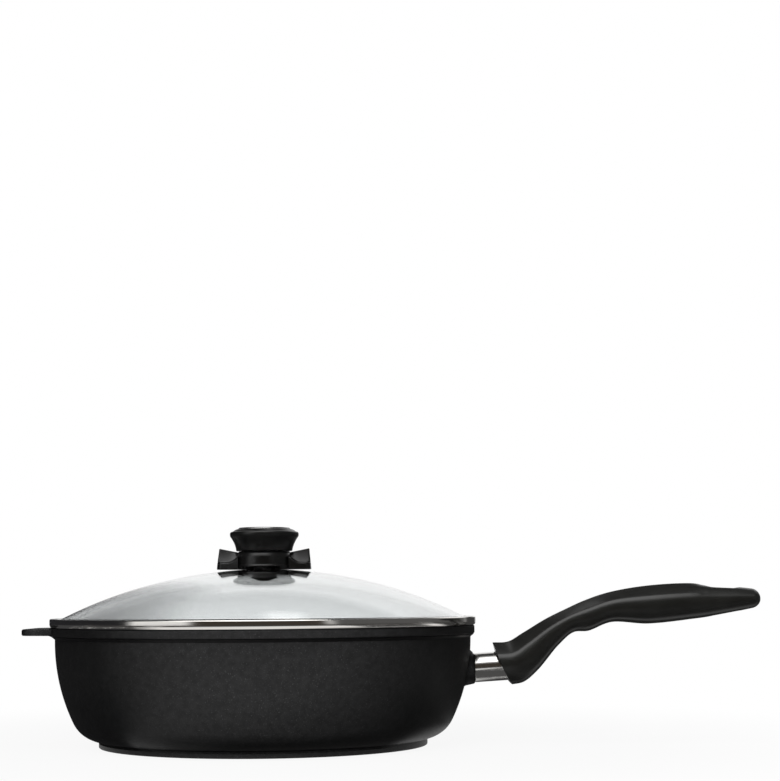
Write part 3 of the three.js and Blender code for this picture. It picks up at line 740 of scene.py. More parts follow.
def pan_profile():
    """Rows of the pan from the disc's bed round the outside to the middle of the floor.

    Each row is a radius, a height and the share of the tab's reach that moves it out."""
    (x, z), turn = corner_arc(SIDE_SWEEP, CORNER, CORNER_LIFT)
    foot_turn = -acos((foot_radius - x) / CORNER)
    foot_top = z + CORNER * sin(foot_turn)
    bed = disc_high.y + FIT
    bed_top = disc_high.z + FIT
    rows = [(0, bed_top), (bed, bed_top), (bed, 0)]
    rows += arc((foot_radius - FOOT_EDGE, FOOT_EDGE), FOOT_EDGE, -pi / 2, 0, 4)
    rows.append((foot_radius, foot_top - FOOT_EDGE / 2))
    rows += arc((x, z), CORNER, foot_turn, turn, CORNER_ROWS)[1:]
    rows += arc((side_centre, side_top), SIDE_SWEEP, turn, 0, WALL_ROWS)[1:]
    rows = [(*row, 0) for row in rows]
    under = side_top + RIM_SLOPE
    rows.append((RIM_RADIUS - TAB_EDGE / 2, under - TAB_EDGE / 4, 0))
    rows += [(RIM_RADIUS - TAB_EDGE, under, i / TAB_ROWS) for i in range(1, TAB_ROWS)]
    low = arc((RIM_RADIUS - TAB_EDGE, under + TAB_EDGE), TAB_EDGE, -pi / 2, 0, 5)
    high = arc((RIM_RADIUS - RIM_EDGE, PAN_HEIGHT - RIM_EDGE), RIM_EDGE, 0, pi / 2, 4)
    rows += [(*p, 1) for p in low + high]
    rows += [(RIM_RADIUS - RIM_EDGE, PAN_HEIGHT, 1 - i / TAB_ROWS) for i in range(1, TAB_ROWS + 1)]
    lead = rounded([
        (RIM_RADIUS, PAN_HEIGHT, 0),
        (mouth_radius + MOUTH_LEAD, PAN_HEIGHT, MOUTH_EDGE),
        (mouth_radius, PAN_HEIGHT - MOUTH_LEAD, MOUTH_EDGE),
        (mouth_radius, side_top, 0),
    ])
    rows += [(*p, 0) for p in lead[1:-1]]
    (x, z), turn = corner_arc(SIDE_SWEEP - WALL, INNER_CORNER, FLOOR)
    inner = arc((side_centre, side_top), SIDE_SWEEP - WALL, 0, turn, LINING_ROWS)
    inner += arc((x, z), INNER_CORNER, turn, -pi / 2, CORNER_ROWS)[1:]
    inner += [(x * (i / FLOOR_ROWS), FLOOR) for i in reversed(range(FLOOR_ROWS))]
    rows += [(*p, 0) for p in inner]
    return rows


def pan_bearings():
    """Bearings of the pan's columns, closer together at the tab and the lug."""
    bearings = [0.0]
    while bearings[-1] < 2 * pi - FINE_COLUMN / 2:
        here = bearings[-1]
        at_lug = min(here, 2 * pi - here) < LUG_HALF_ANGLE
        at_tab = abs(here - pi) < TAB_HALF_ANGLE
        bearings.append(here + (FINE_COLUMN if at_lug or at_tab else COARSE_COLUMN))
    return bearings[:-1]


def lug_swell(x, y, z):
    """Push a point of the outer wall out to the lug's flat face, with a soft skirt round it."""
    face = lug_face - tan(LUG_TILT) * (z - lug_height)
    wide = y / (FERRULE_WIDTH / 2 + LUG_MARGIN)
    high = (z - lug_height) / (FERRULE_HEIGHT / 2 + LUG_MARGIN)
    out = hypot(wide, high)
    fade = min(max((1 + LUG_SKIRT - out) / LUG_SKIRT, 0), 1)
    return x + (face - x) * fade * fade * (3 - 2 * fade)


def oval_bar(name, grow, *reaches):
    """Bar with the ferrule's oval, grown or shrunk, between two reaches from the lug's face."""
    ring = oval(FERRULE_WIDTH / 2 + grow, FERRULE_HEIGHT / 2 + grow, FERRULE_COLUMNS)
    return loft(name, [[(reach, y, z) for y, z in ring] for reach in reaches], handle_place)


def bush_recess():
    """Bore for the threaded bush, in the tongue that fills the ferrule's root."""
    radius = SCREW_RADIUS + FIT + BUSH_WALL + FIT
    low, high = -BUSH_ENTRY - FIT, TONGUE_LENGTH + CUT_PAST
    profile = [(0, low), (radius, low), (radius, high), (0, high)]
    return lathe("recess_cutter", profile, SMALL_COLUMNS, along_x)


def pan_shell():
    profile = pan_profile()
    bearings = pan_bearings()
    outside = next(i for i, row in enumerate(profile) if row[1] >= side_top - TINY)
    rings = []
    for number, (radius, height, share) in enumerate(profile):
        if radius < TINY:
            rings.append([(0, 0, height)])
            continue
        ring = []
        for bearing in bearings:
            reach = tab_reach(bearing - pi) if abs(bearing - pi) < TAB_HALF_ANGLE else 0
            far = radius + share * reach
            x, y = far * cos(bearing), far * sin(bearing)
            lift = -TAB_DROP if height > tab_top - TAB_EDGE else tab_lift
            lift *= min(share * reach / TAB_RAMP, 1)
            if number < outside and x > 0:
                x = lug_swell(x, y, height)
            ring.append((x, y, height + lift))
        rings.append(ring)
    points, rows = numbered(rings)
    shell = mesh_piece("pan_shell", points, grid_faces(rows, False))
    combine(shell, oval_bar("tongue", -FERRULE_SHEET - FIT, -CUT_PAST, TONGUE_LENGTH), "UNION")
    combine(shell, bush_recess(), "DIFFERENCE")
    return shell


def line_pan(shell):
    """Give the faces inside the pan the smoother lining."""
    shell.data.materials.append(LINING)
    for face in shell.data.polygons:
        x, y, z = face.center / MM
        inside = hypot(x, y) < wall_radius_at(min(z, side_top)) - WALL / 2
        face.material_index = 1 if inside and z > FLOOR - LINING_SINK else 0


def base_disc():
    """Steel disc with shallow turned rings on its underside."""
    radius, top = disc_high.y, disc_high.z
    profile = [(0, top), (radius, top)]
    profile += arc((radius - DISC_EDGE, DISC_EDGE), DISC_EDGE, 0, -pi / 2, 3)
    where = radius - 2 * DISC_RING_STEP
    while where > 2 * DISC_RING_STEP:
        half = DISC_RING_STEP / 4
        profile += bend((where + half, 0), (where, 2 * DISC_RING_DEPTH), (where - half, 0), 4)
        where -= DISC_RING_STEP
    profile.append((0, 0))
    return lathe("base_disc", profile, DISC_COLUMNS)


shell = place(pan_shell(), "pan", "cast_black", CAST, "pan_body")
line_pan(shell)
place(base_disc(), "pan", "brushed_steel", TURNED_STEEL, "induction_disc")


# Handle, drawn from the middle of the lug's face along the ferrule's axis

pocket_end = FERRULE_LENGTH + FIT
screw_seat = pocket_end + SCREW_WEB
washer_low = screw_seat + FIT
head_low = washer_low + WASHER_DEPTH + FIT


def ferrule():
    """Oval tube with rolled ends."""
    corners = [(0, FIT), (0, FERRULE_LENGTH), (-FERRULE_SHEET, FERRULE_LENGTH), (-FERRULE_SHEET, FIT)]
    rings = []
    for grow, reach in rounded([(*corner, FERRULE_EDGE) for corner in corners]):
        ring = oval(FERRULE_WIDTH / 2 + grow, FERRULE_HEIGHT / 2 + grow, FERRULE_COLUMNS)
        rings.append([(reach, y, z) for y, z in ring])
    points, rows = numbered(rings)
    return mesh_piece("ferrule_tube", points, grid_faces(rows, True), handle_place)


def grip_stations():
    """Pairs of upper and lower points with a half width, as (reach, half width, rise)."""
    top = FERRULE_HEIGHT / 2 + GRIP_COVER_TOP
    under = -FERRULE_HEIGHT / 2 - GRIP_COVER_UNDER
    half = FERRULE_WIDTH / 2 + FIT + GRIP_COVER_SIDE
    upper = [Vector((-GRIP_LAP_TOP, half, top)), Vector((-GRIP_ELBOW_BACK, half, top))]
    lower = [Vector((-GRIP_LAP_UNDER, half, under))]
    lower.append(Vector((GRIP_ELBOW_REACH, half, under + GRIP_ELBOW_LIFT)))
    for reach, rise, under_reach, depth, width in GRIP_STATIONS:
        half = width * GRIP_HALF_WIDTH
        height = rise * GRIP_CREST
        upper.append(Vector((reach * GRIP_LENGTH, half, height)))
        lower.append(Vector((under_reach * GRIP_LENGTH, half, height - depth * GRIP_DEPTH)))
    start = Vector((FERRULE_LENGTH, 0, 0))
    return [p + start for p in upper], [p + start for p in lower]


def along(points, t):
    """Point of the smooth curve through the points, at a share t of their number."""
    last = len(points) - 1
    i = min(int(t * last), last - 1)
    share = t * last - i
    b, c = points[i], points[i + 1]
    a = points[i - 1] if i > 0 else 2 * b - c
    d = points[i + 2] if i + 2 <= last else 2 * c - b
    gaps = [sqrt((q - p).length) for p, q in ((a, b), (b, c), (c, d))]
    start = ((b - a) / gaps[0] - (c - a) / (gaps[0] + gaps[1]) + (c - b) / gaps[1]) * gaps[1]
    end = ((c - b) / gaps[1] - (d - b) / (gaps[1] + gaps[2]) + (d - c) / gaps[2]) * gaps[1]
    rest = (2 * b - 2 * c + start + end) * share + (3 * c - 3 * b - 2 * start - end)
    return b + (start + rest * share) * share


def grip_section(flat):
    """Half of the handle's section in shares of its half width and half depth, from top to underside.

    It goes from a ridged roof to a flat one as flat goes from 0 to 1."""
    crease = Vector(CREASE).lerp(CREASE_FLAT, flat)
    section = bend((0, 1), Vector(ROOF_PULL).lerp(ROOF_PULL_FLAT, flat), crease, GRIP_ROOF_POINTS)
    section += bend(crease, SIDE_PULL, WIDEST, GRIP_SIDE_POINTS)[1:]
    section += bend(WIDEST, LOWER_PULL, UNDER_TURN, GRIP_UNDER_POINTS)[1:]
    section += bend(UNDER_TURN, UNDER_PULL, (0, -1), GRIP_UNDER_POINTS)[1:]
    return section


def grip_ring(t, shrink):
    """Ring of the handle at a share t of its stations, its sides set back by a bow at the front."""
    upper, lower = grip_stations()
    top, under = along(upper, t), along(lower, t)
    bow = FRONT_BOW * max(0, 1 - t / FRONT_BOW_SHARE) ** 2
    flat = min(max((t - FLAT_FROM) / (FLAT_TO - FLAT_FROM), 0), 1)
    half = grip_section(flat)
    section = half + [(-across, up) for across, up in half[-2:0:-1]]
    middle = (top + under) / 2
    lift = (top - under) / 2
    ring = []
    for across, up in section:
        reach = middle.x + lift.x * up * shrink - bow * across ** 2
        ring.append((reach, middle.y * across * shrink, middle.z + lift.z * up * shrink))
    return ring


def eye_cutter():
    """Rounded slot that flares at both faces of the handle."""
    middle = FERRULE_LENGTH + GRIP_LENGTH - EYE_SETBACK
    upper, lower = grip_stations()
    run = (EYE_LENGTH - EYE_WIDTH) / 2
    faces = []
    for points in (lower, upper):
        near, far = points[-3], points[-2]
        slope = (far.z - near.z) / (far.x - near.x)
        faces.append((near.z + slope * (middle - near.x), slope))
    levels = [(0, -EYE_CLEAR, EYE_CLEAR_FLARE), (0, 0, EYE_FLARE)]
    levels += [(0, EYE_FLARE, EYE_ROUND), (0, 2 * EYE_FLARE, 0)]
    levels += [(1, -up, grow) for _, up, grow in reversed(levels)]
    rings = []
    for face, up, grow in levels:
        height, slope = faces[face]
        end = EYE_WIDTH / 2 + grow
        plan = arc((middle + run, 0), end, -pi / 2, pi / 2, 16)
        plan += arc((middle - run, 0), end, pi / 2, 3 * pi / 2, 16)
        rings.append([(x, y, height + up + slope * (x - middle)) for x, y in plan])
    return loft("eye_cutter", rings, handle_place)


def grip():
    rings = [grip_ring(0, FRONT_SHRINK)]
    rings += [grip_ring(t, 1) for t in spread(FRONT_EDGE, 1 - TIP_SHARE, GRIP_RINGS)]
    for turn in spread(0, TIP_TURN, TIP_RINGS)[1:]:
        rings.append(grip_ring(1 - TIP_SHARE + TIP_SHARE * sin(turn), cos(turn)))
    body = loft("handle_grip_moulding", rings, handle_place)
    combine(body, oval_bar("pocket_cutter", FIT, 0, pocket_end), "DIFFERENCE")
    start, clear = pocket_end - CUT_PAST, FERRULE_LENGTH + GRIP_STATIONS[1][2] * GRIP_LENGTH
    bore = [(0, start), (SCREW_RADIUS + FIT, start), (SCREW_RADIUS + FIT, screw_seat)]
    bore += [(WASHER_RADIUS + FIT, screw_seat), (WASHER_RADIUS + FIT, clear), (0, clear)]
    combine(body, lathe("bore_cutter", bore, SMALL_COLUMNS, along_x), "DIFFERENCE")
    combine(body, eye_cutter(), "DIFFERENCE")
    return body


def handle_screw():
    """Pan-head screw with a cross recess."""
    top = head_low + SCREW_HEAD_DEPTH
    profile = [(0, -SCREW_ENTRY), (SCREW_RADIUS - SCREW_LEAD[0], -SCREW_ENTRY)]
    profile += [(SCREW_RADIUS, -SCREW_ENTRY + SCREW_LEAD[1]), (SCREW_RADIUS, head_low)]
    profile.append((SCREW_HEAD_RADIUS, head_low))
    side = (SCREW_HEAD_RADIUS, top - SCREW_HEAD_CROWN)
    profile += bend(side, (SCREW_HEAD_RADIUS - SCREW_HEAD_LEAN, top), (0, top), 10)
    screw = lathe("handle_pan_screw", profile, SMALL_COLUMNS, along_x)
    for wide, deep in ((CROSS_REACH, CROSS_WIDTH), (CROSS_WIDTH, CROSS_REACH)):
        rings = []
        for height, grow in ((top - CROSS_DEPTH, CROSS_TAPER), (top + CROSS_PAST, 1)):
            rings.append(rectangle(wide / 2 * grow, deep / 2 * grow, height))
        combine(screw, loft("cross_cutter", rings, along_x), "DIFFERENCE")
    return screw


def spring_washer():
    """Split ring whose ends stand a little apart along its axis."""
    inner = SCREW_RADIUS + FIT
    half = (WASHER_DEPTH - WASHER_LIFT) / 2
    rings = []
    for share in spread(0, 1, WASHER_RINGS):
        turn = WASHER_SPLIT / 2 + (2 * pi - WASHER_SPLIT) * share
        middle = washer_low + half + WASHER_LIFT * share
        low, high = middle - half, middle + half
        corners = [(inner, low), (WASHER_RADIUS, low), (WASHER_RADIUS, high), (inner, high)]
        section = rounded([(*corner, WASHER_EDGE) for corner in corners])
        rings.append([(r * cos(turn), r * sin(turn), z) for r, z in section])
    return loft("split_washer", rings, along_x)


place(ferrule(), "pan", "polished_steel", FERRULE_STEEL, "handle_ferrule")
place(grip(), "pan", "phenolic", GRIP_PHENOLIC_PAINTED_LIGHT, "handle_grip")
place(handle_screw(), "pan", "zinc_steel", ZINC, "handle_screw")
place(spring_washer(), "pan", "zinc_steel", ZINC, "handle_spring_washer")


# Lid

band_bottom = PAN_HEIGHT + LID_GAP
brim_low = glass_low.z
brim_top = brim_low + GLASS
glass_radius = glass_high.y
dome_foot = glass_radius - BRIM
dome_radius = (dome_foot ** 2 + DOME_RISE ** 2) / (2 * DOME_RISE)
dome_centre = brim_top + DOME_RISE - dome_radius
stud_bore = GLASS_HOLE - STUD_SLACK


def dome(radius, sphere):
    return dome_centre + sqrt(sphere ** 2 - radius ** 2)


def lid_dome():
    inside = dome_radius - GLASS
    under_foot = sqrt(inside ** 2 - (brim_low - dome_centre) ** 2)
    profile = arc((glass_radius - GLASS / 2, brim_low + GLASS / 2), GLASS / 2, -pi / 2, pi / 2, 10)
    profile += [(radius, dome(radius, dome_radius)) for radius in spread(dome_foot, GLASS_HOLE, DOME_ROWS)]
    profile += [(radius, dome(radius, inside)) for radius in spread(GLASS_HOLE, under_foot, DOME_ROWS)]
    return lathe("lid_dome_glass", profile, LID_COLUMNS)


def lid_band():
    """Rolled channel round the glass with a skirt that drops into the pan's mouth."""
    skirt = mouth_radius - SKIRT_SLACK
    lip = dome_foot + FIT
    radius, top = band_high.y, band_high.z
    low_radius = radius - BAND_TAPER
    roll = asin(BAND_ROLL_HEIGHT / BAND_ROLL)
    rolled = arc((radius - BAND_ROLL, band_bottom + BAND_ROLL_HEIGHT), BAND_ROLL, -roll, 0, 8)
    inner_low, inner_top = band_bottom + BAND_SHEET, top - BAND_SHEET
    profile = rounded([
        (skirt - BAND_SHEET, band_low.z, BAND_ROUND),
        (skirt, band_low.z, BAND_ROUND),
        (skirt, band_bottom, SKIRT_FOLD),
        *((x, z, 0) for x, z in rolled),
        (radius, top - BAND_EDGE, BAND_ROUND),
        (radius - BAND_EDGE, top, BAND_ROUND),
        (lip, top, LIP_ROUND),
        (lip, inner_top, LIP_ROUND),
        (radius - BAND_SHEET - BAND_EDGE, inner_top, BAND_ROUND),
        (radius - BAND_SHEET, band_bottom + BAND_KNEE, INNER_FOLD),
        (low_radius - BAND_SHEET / 2, inner_low, BAND_ROUND),
        (skirt - BAND_SHEET, inner_low, INNER_FOLD),
    ])
    return lathe("lid_rolled_band", profile, LID_COLUMNS)


def soft_ring(name, node):
    """Gasket with rounded edges in the place of a flat ring."""
    low, high = span(node)
    edge = (high.z - low.z) * GASKET_ROUND
    corners = [(stud_bore, low.z), (high.y, low.z), (high.y, high.z), (stud_bore, high.z)]
    return lathe(name, rounded([(*corner, edge) for corner in corners]), SMALL_COLUMNS)


def domed_nut():
    low, high = span("retaining_nut")
    profile = rounded([
        (NUT_INLET, low.z, NUT_ROUND),
        (NUT_INLET + NUT_FLAT, low.z, NUT_POINT_ROUND),
        (stud_bore + NUT_WALL, low.z + NUT_FLOOR, NUT_SIDE_ROUND),
        (high.y, high.z - NUT_EDGE, NUT_SHOULDER_ROUND),
        (high.y, high.z, NUT_ROUND),
        (stud_bore, high.z, NUT_BORE_ROUND),
        (stud_bore, low.z + NUT_FLOOR, 0),
        (NUT_INLET, low.z + NUT_FLOOR, NUT_BORE_ROUND),
    ])
    return lathe("domed_nut", profile, SMALL_COLUMNS)


place(lid_dome(), "lid", "clear_glass", CLEAR, "lid_glass")
place(lid_band(), "lid", "polished_steel", BAND_STEEL, "lid_rim_band")
place(soft_ring("upper_soft_ring", "upper_gasket"), "lid", "silicone", SILICONE, "upper_gasket")
place(soft_ring("lower_soft_ring", "lower_gasket"), "lid", "silicone", SILICONE, "lower_gasket")
place(domed_nut(), "lid", "phenolic", PHENOLIC_PAINTED_SHADE, "retaining_nut")


# Vent collar

collar_low = span("vent_collar")[0].z
wing_reach, _, wing_top = span("vent_collar")[1]
knob_low = span("knob_grip")[0].z
key_top = span("vent_seat")[1].z
hub_top = knob_low - FIT
skirt_inner = SEAT_RADIUS + FIT
hub_radius = skirt_inner + HUB_WALL
collar_radius = skirt_inner + COLLAR_WALL
column_bore = COLUMN_RADIUS + FIT
hub_low = key_top - KEY_HEIGHT - COLUMN_HEIGHT + FIT


def collar_barrel():
    shelf = collar_low + COLLAR_STEP
    wave_floor = span("wave_washer")[0].z - FIT
    profile = [(column_bore, hub_low), (skirt_inner, hub_low), (skirt_inner, collar_low + COLLAR_INNER_EDGE)]
    profile += [(skirt_inner + COLLAR_INNER_EDGE, collar_low), (collar_radius - COLLAR_EDGE, collar_low)]
    profile += [(collar_radius, collar_low + COLLAR_EDGE), (collar_radius, shelf - SHELF_CHAMFER[1])]
    profile += [(collar_radius - SHELF_CHAMFER[0], shelf), (hub_radius, shelf + SHELF_RISE)]
    shoulder, knee = hub_radius - HUB_CHAMFER[0], hub_top - HUB_CHAMFER[1]
    run, rise = HUB_KNEE
    profile += bend((hub_radius, knee - rise), (hub_radius, knee), (hub_radius - run, knee + rise), 5)
    profile += [(shoulder, hub_top - HUB_EDGE[1]), (shoulder - HUB_EDGE[0], hub_top)]
    wave_bed = column_bore + WAVE_WIDTH + FIT
    profile += [(wave_bed, hub_top), (wave_bed, wave_floor), (column_bore, wave_floor)]
    return lathe("vent_wing_collar", profile, KNOB_COLUMNS)


def wing_section(share):
    """Half of a wing's section, from its underside to its top edge, at a share of its length."""
    plate = PLATE_HALF_ROOT + (PLATE_HALF_TIP - PLATE_HALF_ROOT) * share
    plate_top = collar_low + PLATE_DEPTH + WEB_RISE * max(0, 1 - share / WEB_SHARE) ** 2
    foot, crest = FIN_HALF + FIN_DRAFT, FIN_HALF - FIN_DRAFT
    ridge = hub_top - WING_DROP + (wing_top - hub_top + WING_DROP) * share
    fillet = FIN_FILLET_ROOT + (FIN_FILLET_TIP - FIN_FILLET_ROOT) * share
    edge = min(FIN_EDGE, crest / 2)
    half = [(0, collar_low), (plate - PLATE_EDGE, collar_low), (plate, collar_low + PLATE_EDGE)]
    half += bend((plate, plate_top - PLATE_ROUND), (plate, plate_top), (plate - PLATE_ROUND, plate_top), 4)
    side = (foot - FIN_FILLET_LEAN, plate_top + fillet / 2)
    half += bend((foot + fillet, plate_top), (foot, plate_top), side, 7)
    half += bend((crest, ridge - edge), (crest, ridge), (crest - edge, ridge), 4)
    half.append((0, ridge))
    return half


def wing(bearing):
    """One wing: a flat plate with an upright fin, rounded at its tip."""
    root = skirt_inner + FIT
    turn = Matrix.Rotation(bearing, 4, "Z")
    rings = []
    for share in spread(0, 1, WING_RINGS):
        half = wing_section(share)
        reach = root + (wing_reach - root) * share
        past = max(0.0, WING_TIP - (wing_reach - reach)) / WING_TIP
        plate_pull = 1 - PLATE_TIP_PULL * past ** PLATE_TIP_POWER
        fin_pull = 1 - FIN_TIP_PULL * past ** FIN_TIP_POWER
        ring = []
        for y, z in half + [(-y, z) for y, z in half[-2:0:-1]]:
            lean = WING_LEAN * share * (z - collar_low) / (wing_top - collar_low)
            pull = plate_pull if abs(y) > FIN_HALF + FIN_DRAFT else fin_pull
            ring.append((reach - lean, y * pull, z))
        rings.append(ring)
    end = rings[-1]
    middle = sum(z for _, _, z in end) / len(end)
    rings[-1] = [(x, y * WING_END_WIDTH, middle + (z - middle) * WING_END_HEIGHT) for x, y, z in end]
    return loft("wing", rings, turn)


def sector(radii, bearings, heights):
    """Piece of a ring between two radii, bearings and heights."""
    plan = arc((0, 0), radii[1], bearings[0], bearings[1], 32)
    plan += arc((0, 0), radii[0], bearings[1], bearings[0], 32)
    return loft("sector_cutter", [[(x, y, z) for x, y in plan] for z in heights])


def vent_window():
    """Opening in the collar's skirt."""
    bearings = (VENT_BEARING - VENT_HALF_ANGLE, VENT_BEARING + VENT_HALF_ANGLE)
    heights = (collar_low - CUT_PAST, collar_low + WINDOW_HEIGHT)
    return sector((skirt_inner - CUT_PAST, collar_radius + CUT_PAST), bearings, heights)


def stop_track():
    """Groove in which the seat's stop runs as the collar turns."""
    half = STOP_SIZE / 2 + FIT
    radius = (COLUMN_RADIUS + SEAT_RADIUS) / 2
    swing = half / radius
    heights = (hub_low - CUT_PAST, hub_low + STOP_HEIGHT)
    return sector((radius - half, radius + half), (-VENT_TURN - swing, swing), heights)


def vent_collar():
    collar = collar_barrel()
    for bearing in (0, pi):
        combine(collar, wing(bearing), "UNION")
    combine(collar, vent_window(), "DIFFERENCE")
    combine(collar, stop_track(), "DIFFERENCE")
    return collar


place(vent_collar(), "vent", "phenolic", PHENOLIC_PAINTED_SHADE, "vent_collar")


# Knob

cap_low, cap_high = span("knob_cap")
cap_bed = cap_high.y + FIT
cap_seat = cap_low.z - FIT


def knob():
    crown_radius = cap_bed + KNOB_SHOULDER
    flange_radius = crown_radius + KNOB_BULGE
    flange, crown = knob_low + FLANGE_HEIGHT, knob_low + CROWN_HEIGHT
    foot, brim, rim = (KNOB_FOOT, knob_low + KNOB_EDGE), (flange_radius, flange), (crown_radius, crown)
    profile = [(KEY_SOCKET, key_top + FIT), (KEY_SOCKET, knob_low), (KNOB_FOOT - KNOB_EDGE, knob_low)]
    profile += bend(foot, (KNOB_WAIST, (knob_low + flange) / 2), brim, 22)
    profile += bend(brim, (flange_radius + KNOB_BULGE / 2, crown), rim, 12)[1:]
    top = span("knob_grip")[1].z
    profile += bend(rim, (cap_bed + KNOB_LIP_PULL, top), (cap_bed + KNOB_LIP, top), 6)[1:]
    profile += [(cap_bed, top - KNOB_LIP), (cap_bed, cap_seat), (KNOB_SCREW_BED, cap_seat)]
    profile += [(KNOB_SCREW_BED, knob_low + KNOB_SCREW_SEAT), (KNOB_SCREW_BORE, knob_low + KNOB_SCREW_SEAT)]
    profile.append((KNOB_SCREW_BORE, key_top + FIT))
    return lathe("knob_moulding", profile, KNOB_COLUMNS)


def cap():
    """Steel disc with a soft bevel and a faint crown."""
    radius = cap_high.y
    crown = cap_high.z - CAP_CROWN
    profile = [(0, cap_low.z), (radius - CAP_RING, cap_low.z), (radius, cap_low.z + CAP_RING)]
    pull, brim = (radius - CAP_BEVEL / 3, crown - CAP_BEVEL / 3), (radius - CAP_BEVEL, crown)
    profile += bend((radius, crown - CAP_BEVEL), pull, brim, 6)
    profile += bend(brim, (radius / 2, cap_high.z), (0, cap_high.z), 10)[1:]
    return lathe("knob_steel_cap", profile, KNOB_COLUMNS)


place(knob(), "lid", "phenolic", PHENOLIC_PAINTED_SHADE, "knob_grip")
place(cap(), "lid", "brushed_steel", CAP_STEEL, "knob_cap")

# Solids that stay as they are, with their finishes
for node, material in (
    ("lug_bush", ZINC),
    ("steam_stud", BLACKENED),
    ("vent_seat", PHENOLIC_PAINTED_SHADE),
    ("wave_washer", CAP_STEEL),
    ("knob_insert", BRASS),
    ("knob_screw", ZINC),
):
    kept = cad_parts[node].data.materials
    kept.clear()
    kept.append(material)


# Studio

def set_camera():
    """Camera at the photograph's place, tipped up and rolled a little."""
    data = bpy.data.cameras.new("camera")
    data.lens = PHOTO_FOCUS / PHOTO_HEIGHT * SENSOR
    data.sensor_width = SENSOR
    camera = add("camera", data)
    turn = Matrix.Rotation(pi / 2 + CAMERA_PITCH, 4, "X") @ Matrix.Rotation(-CAMERA_ROLL, 4, "Z")
    camera.matrix_world = Matrix.Translation(CAMERA_PLACE) @ turn
    bpy.context.scene.camera = camera
    bpy.context.scene.view_settings.view_transform = "Standard"


def soft_box(name, where, aim, width, height, power, seen):
    """Area lamp that faces a point and may show in reflections."""
    data = bpy.data.lights.new(name, "AREA")
    data.shape = "RECTANGLE"
    data.size, data.size_y = width, height
    data.energy = power
    lamp = add(name, data)
    lamp.visible_glossy = seen
    lamp.location = where
    lamp.rotation_mode = "QUATERNION"
    lamp.rotation_quaternion = (Vector(aim) - Vector(where)).to_track_quat("-Z", "Y")


def flag(name, bearings, heights, colour, fade=FLAG_FADE, distance=FLAG_DISTANCE, through=False):
    """Curved card round the object, laid on the floor where it would go lower.

    Only reflections see it, or only what looks through the glass.
    Bearings run in degrees from the camera's side towards the handle, heights up from the horizon;
    the card fades out over so many degrees at its (first, last, low, high) edges."""
    columns, rows = (max(2, ceil((last - first) / FLAG_STEP)) for first, last in (bearings, heights))
    points, faces, covers = [], [], []
    for height in spread(*heights, rows):
        rise = radians(height)
        for bearing in spread(*bearings, columns):
            turn = radians(bearing)
            way = Vector((sin(turn), -cos(turn), tan(rise))) * cos(rise)
            far = min(distance, (FLAG_LOWEST - FLAG_FOCUS.z) / way.z) if way.z < 0 else distance
            points.append(FLAG_FOCUS + way * far)
            inset = (bearing - bearings[0], bearings[1] - bearing, height - heights[0], heights[1] - height)
            covers.append(prod(min(1, gap / wide) if wide else 1 for gap, wide in zip(inset, fade)))
    for i in range(rows):
        for j in range(columns):
            first = i * (columns + 1) + j
            faces.append((first, first + 1, first + columns + 2, first + columns + 1))
    mesh = bpy.data.meshes.new(name)
    mesh.from_pydata(points, [], faces)
    card = add(name, mesh)
    card.visible_camera = card.visible_diffuse = False
    card.visible_transmission = through
    card.visible_glossy = not through
    card.visible_volume_scatter = card.visible_shadow = False
    mesh.attributes.new("cover", "FLOAT", "POINT").data.foreach_set("value", covers)
    paint = Finish(name, colour, 1.0)
    paint.shader = paint.node("ShaderNodeBsdfTransparent")
    cover = paint.node("ShaderNodeAttribute")
    cover.attribute_name = "cover"
    paint.cover(cover.outputs["Fac"], paint.node("ShaderNodeEmission", ("Color", (*colour, 1))))
    mesh.materials.append(paint.material)


def seen_by_eye(wiring):
    """1 for rays from the camera, in reflections and through glass."""
    path = wiring.node("ShaderNodeLightPath").outputs
    seen = path["Is Camera Ray"]
    for kind in ("Is Glossy Ray", "Is Transmission Ray"):
        seen = wiring.work("ShaderNodeMath", "MAXIMUM", seen, path[kind])["Value"]
    return seen


def studio_world():
    """White to the eye; the object is lit by a pale wall behind it and a dim room in front."""
    world = bpy.data.worlds.new("studio")
    bpy.context.scene.world = world
    world.use_nodes = True
    wiring = Wiring(world.node_tree)
    way = wiring.node("ShaderNodeTexCoord").outputs["Generated"]
    parts = wiring.node("ShaderNodeSeparateXYZ", ("Vector", way)).outputs
    depth = wiring.node("ShaderNodeMapRange", ("Value", parts["Y"]), ("From Min", -1)).outputs["Result"]
    room = wiring.ramp(depth, *ROOM_SPAN, grey(ROOM_DIM), grey(ROOM_PALE))
    wiring.wire(wiring.nodes["Background"], ("Color", wiring.mix(seen_by_eye(wiring), room, grey(1))))


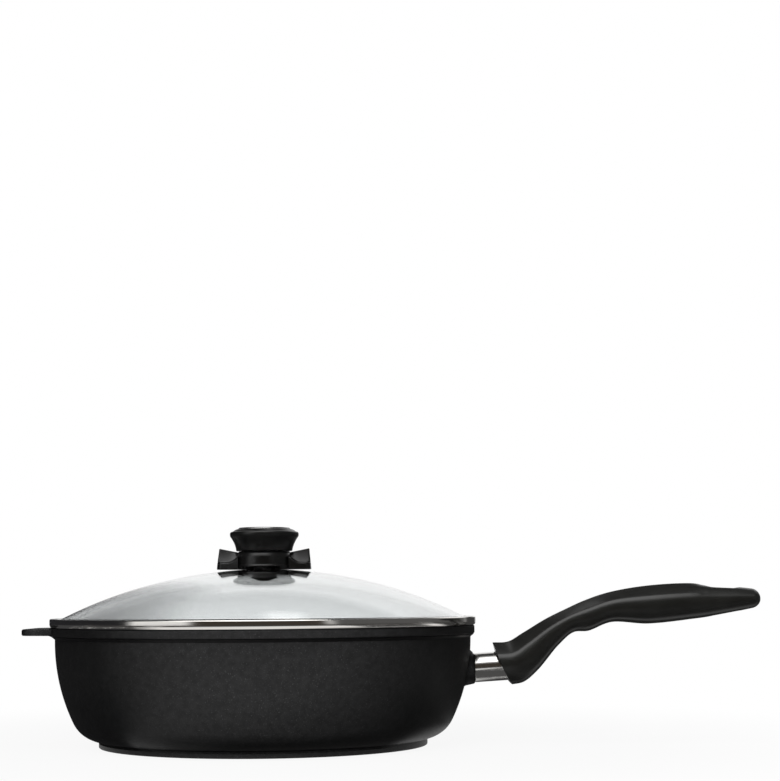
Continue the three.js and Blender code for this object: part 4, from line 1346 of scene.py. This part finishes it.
def studio_floor():
    """Large pale floor that reads as white and keeps a soft shadow."""
    mesh = bpy.data.meshes.new("floor")
    mesh.from_pydata(rectangle(FLOOR_SIZE, FLOOR_SIZE, -FLOOR_GAP), [], [(0, 1, 2, 3)])
    floor = add("floor", mesh)
    paint = Finish("floor_paint", grey(FLOOR_TONE), FLOOR_ROUGHNESS)
    away = paint.work("ShaderNodeVectorMath", "LENGTH", paint.where)["Value"]
    near, far = FLOOR_SHADOW_REACH
    wires = (("Value", away), ("From Min", near), ("From Max", far), ("To Min", FLOOR_GLOW))
    fade = paint.node("ShaderNodeMapRange", *wires)
    fade.interpolation_type = "SMOOTHSTEP"
    share = paint.work("ShaderNodeMath", "MULTIPLY", seen_by_eye(paint), fade.outputs["Result"])
    paint.cover(share["Value"], paint.node("ShaderNodeEmission"))
    mesh.materials.append(paint.material)


set_camera()

soft_box("overhead_box", (-0.375, -0.63, 1.7), (-0.375, -0.63, 0), 1.85, 1.38, 16.5, True)
soft_box("key_box", (-0.35, -1.75, 1.05), FLAG_FOCUS, 0.9, 0.7, 28, False)
soft_box("fill_box", (1.6, -1.2, 0.6), FLAG_FOCUS, 0.8, 0.8, 3, False)

flag("front_flag", (-38, 38), (-2, 50), (0.055, 0.046, 0.038), (6, 6, 0, 13))
flag("left_flag", (-169, -66), (-2, 82), (0.02, 0.02, 0.022))
flag("right_flag", (35, 142), (-2, 82), grey(0.11))
flag("right_low_flag", (136, 168), (-2, 20), grey(0.05))
flag("floor_flag", (-100, 100), (-13, -2), (0.05, 0.046, 0.042), (10, 10, 5, 0))
flag("handle_floor_flag", (26, 84), (-26, -2), grey(0.06), (8, 8, 2, 0))
flag("left_floor_flag", (-172, -48), (-40, -2), (0.06, 0.06, 0.062), (5, 12, 6, 0))
flag("right_floor_flag", (90, 172), (-40, -2), grey(0.05), (10, 5, 8, 0))
flag("upper_back_flag", (136, 262), (36, 78), grey(0.03), (6, 6, 6, 4))
flag("back_window", (175, 196), (57, 71), grey(2.2), (6, 6, 4, 4), WINDOW_DISTANCE)
# Painted shadow: a dark ring on the floor round the foot, seen only in reflections, stands in for the pan's
# contact shadow
flag("painted_foot_shadow_flag", (-58, 100), (-42, -20), grey(0.1), (10, 10, 2, 4))
flag("glass_flag", (188.5, 225), (-1.2, 6), (0.06, 0.062, 0.064), (5, 4, 0, 3), through=True)

studio_world()
studio_floor()
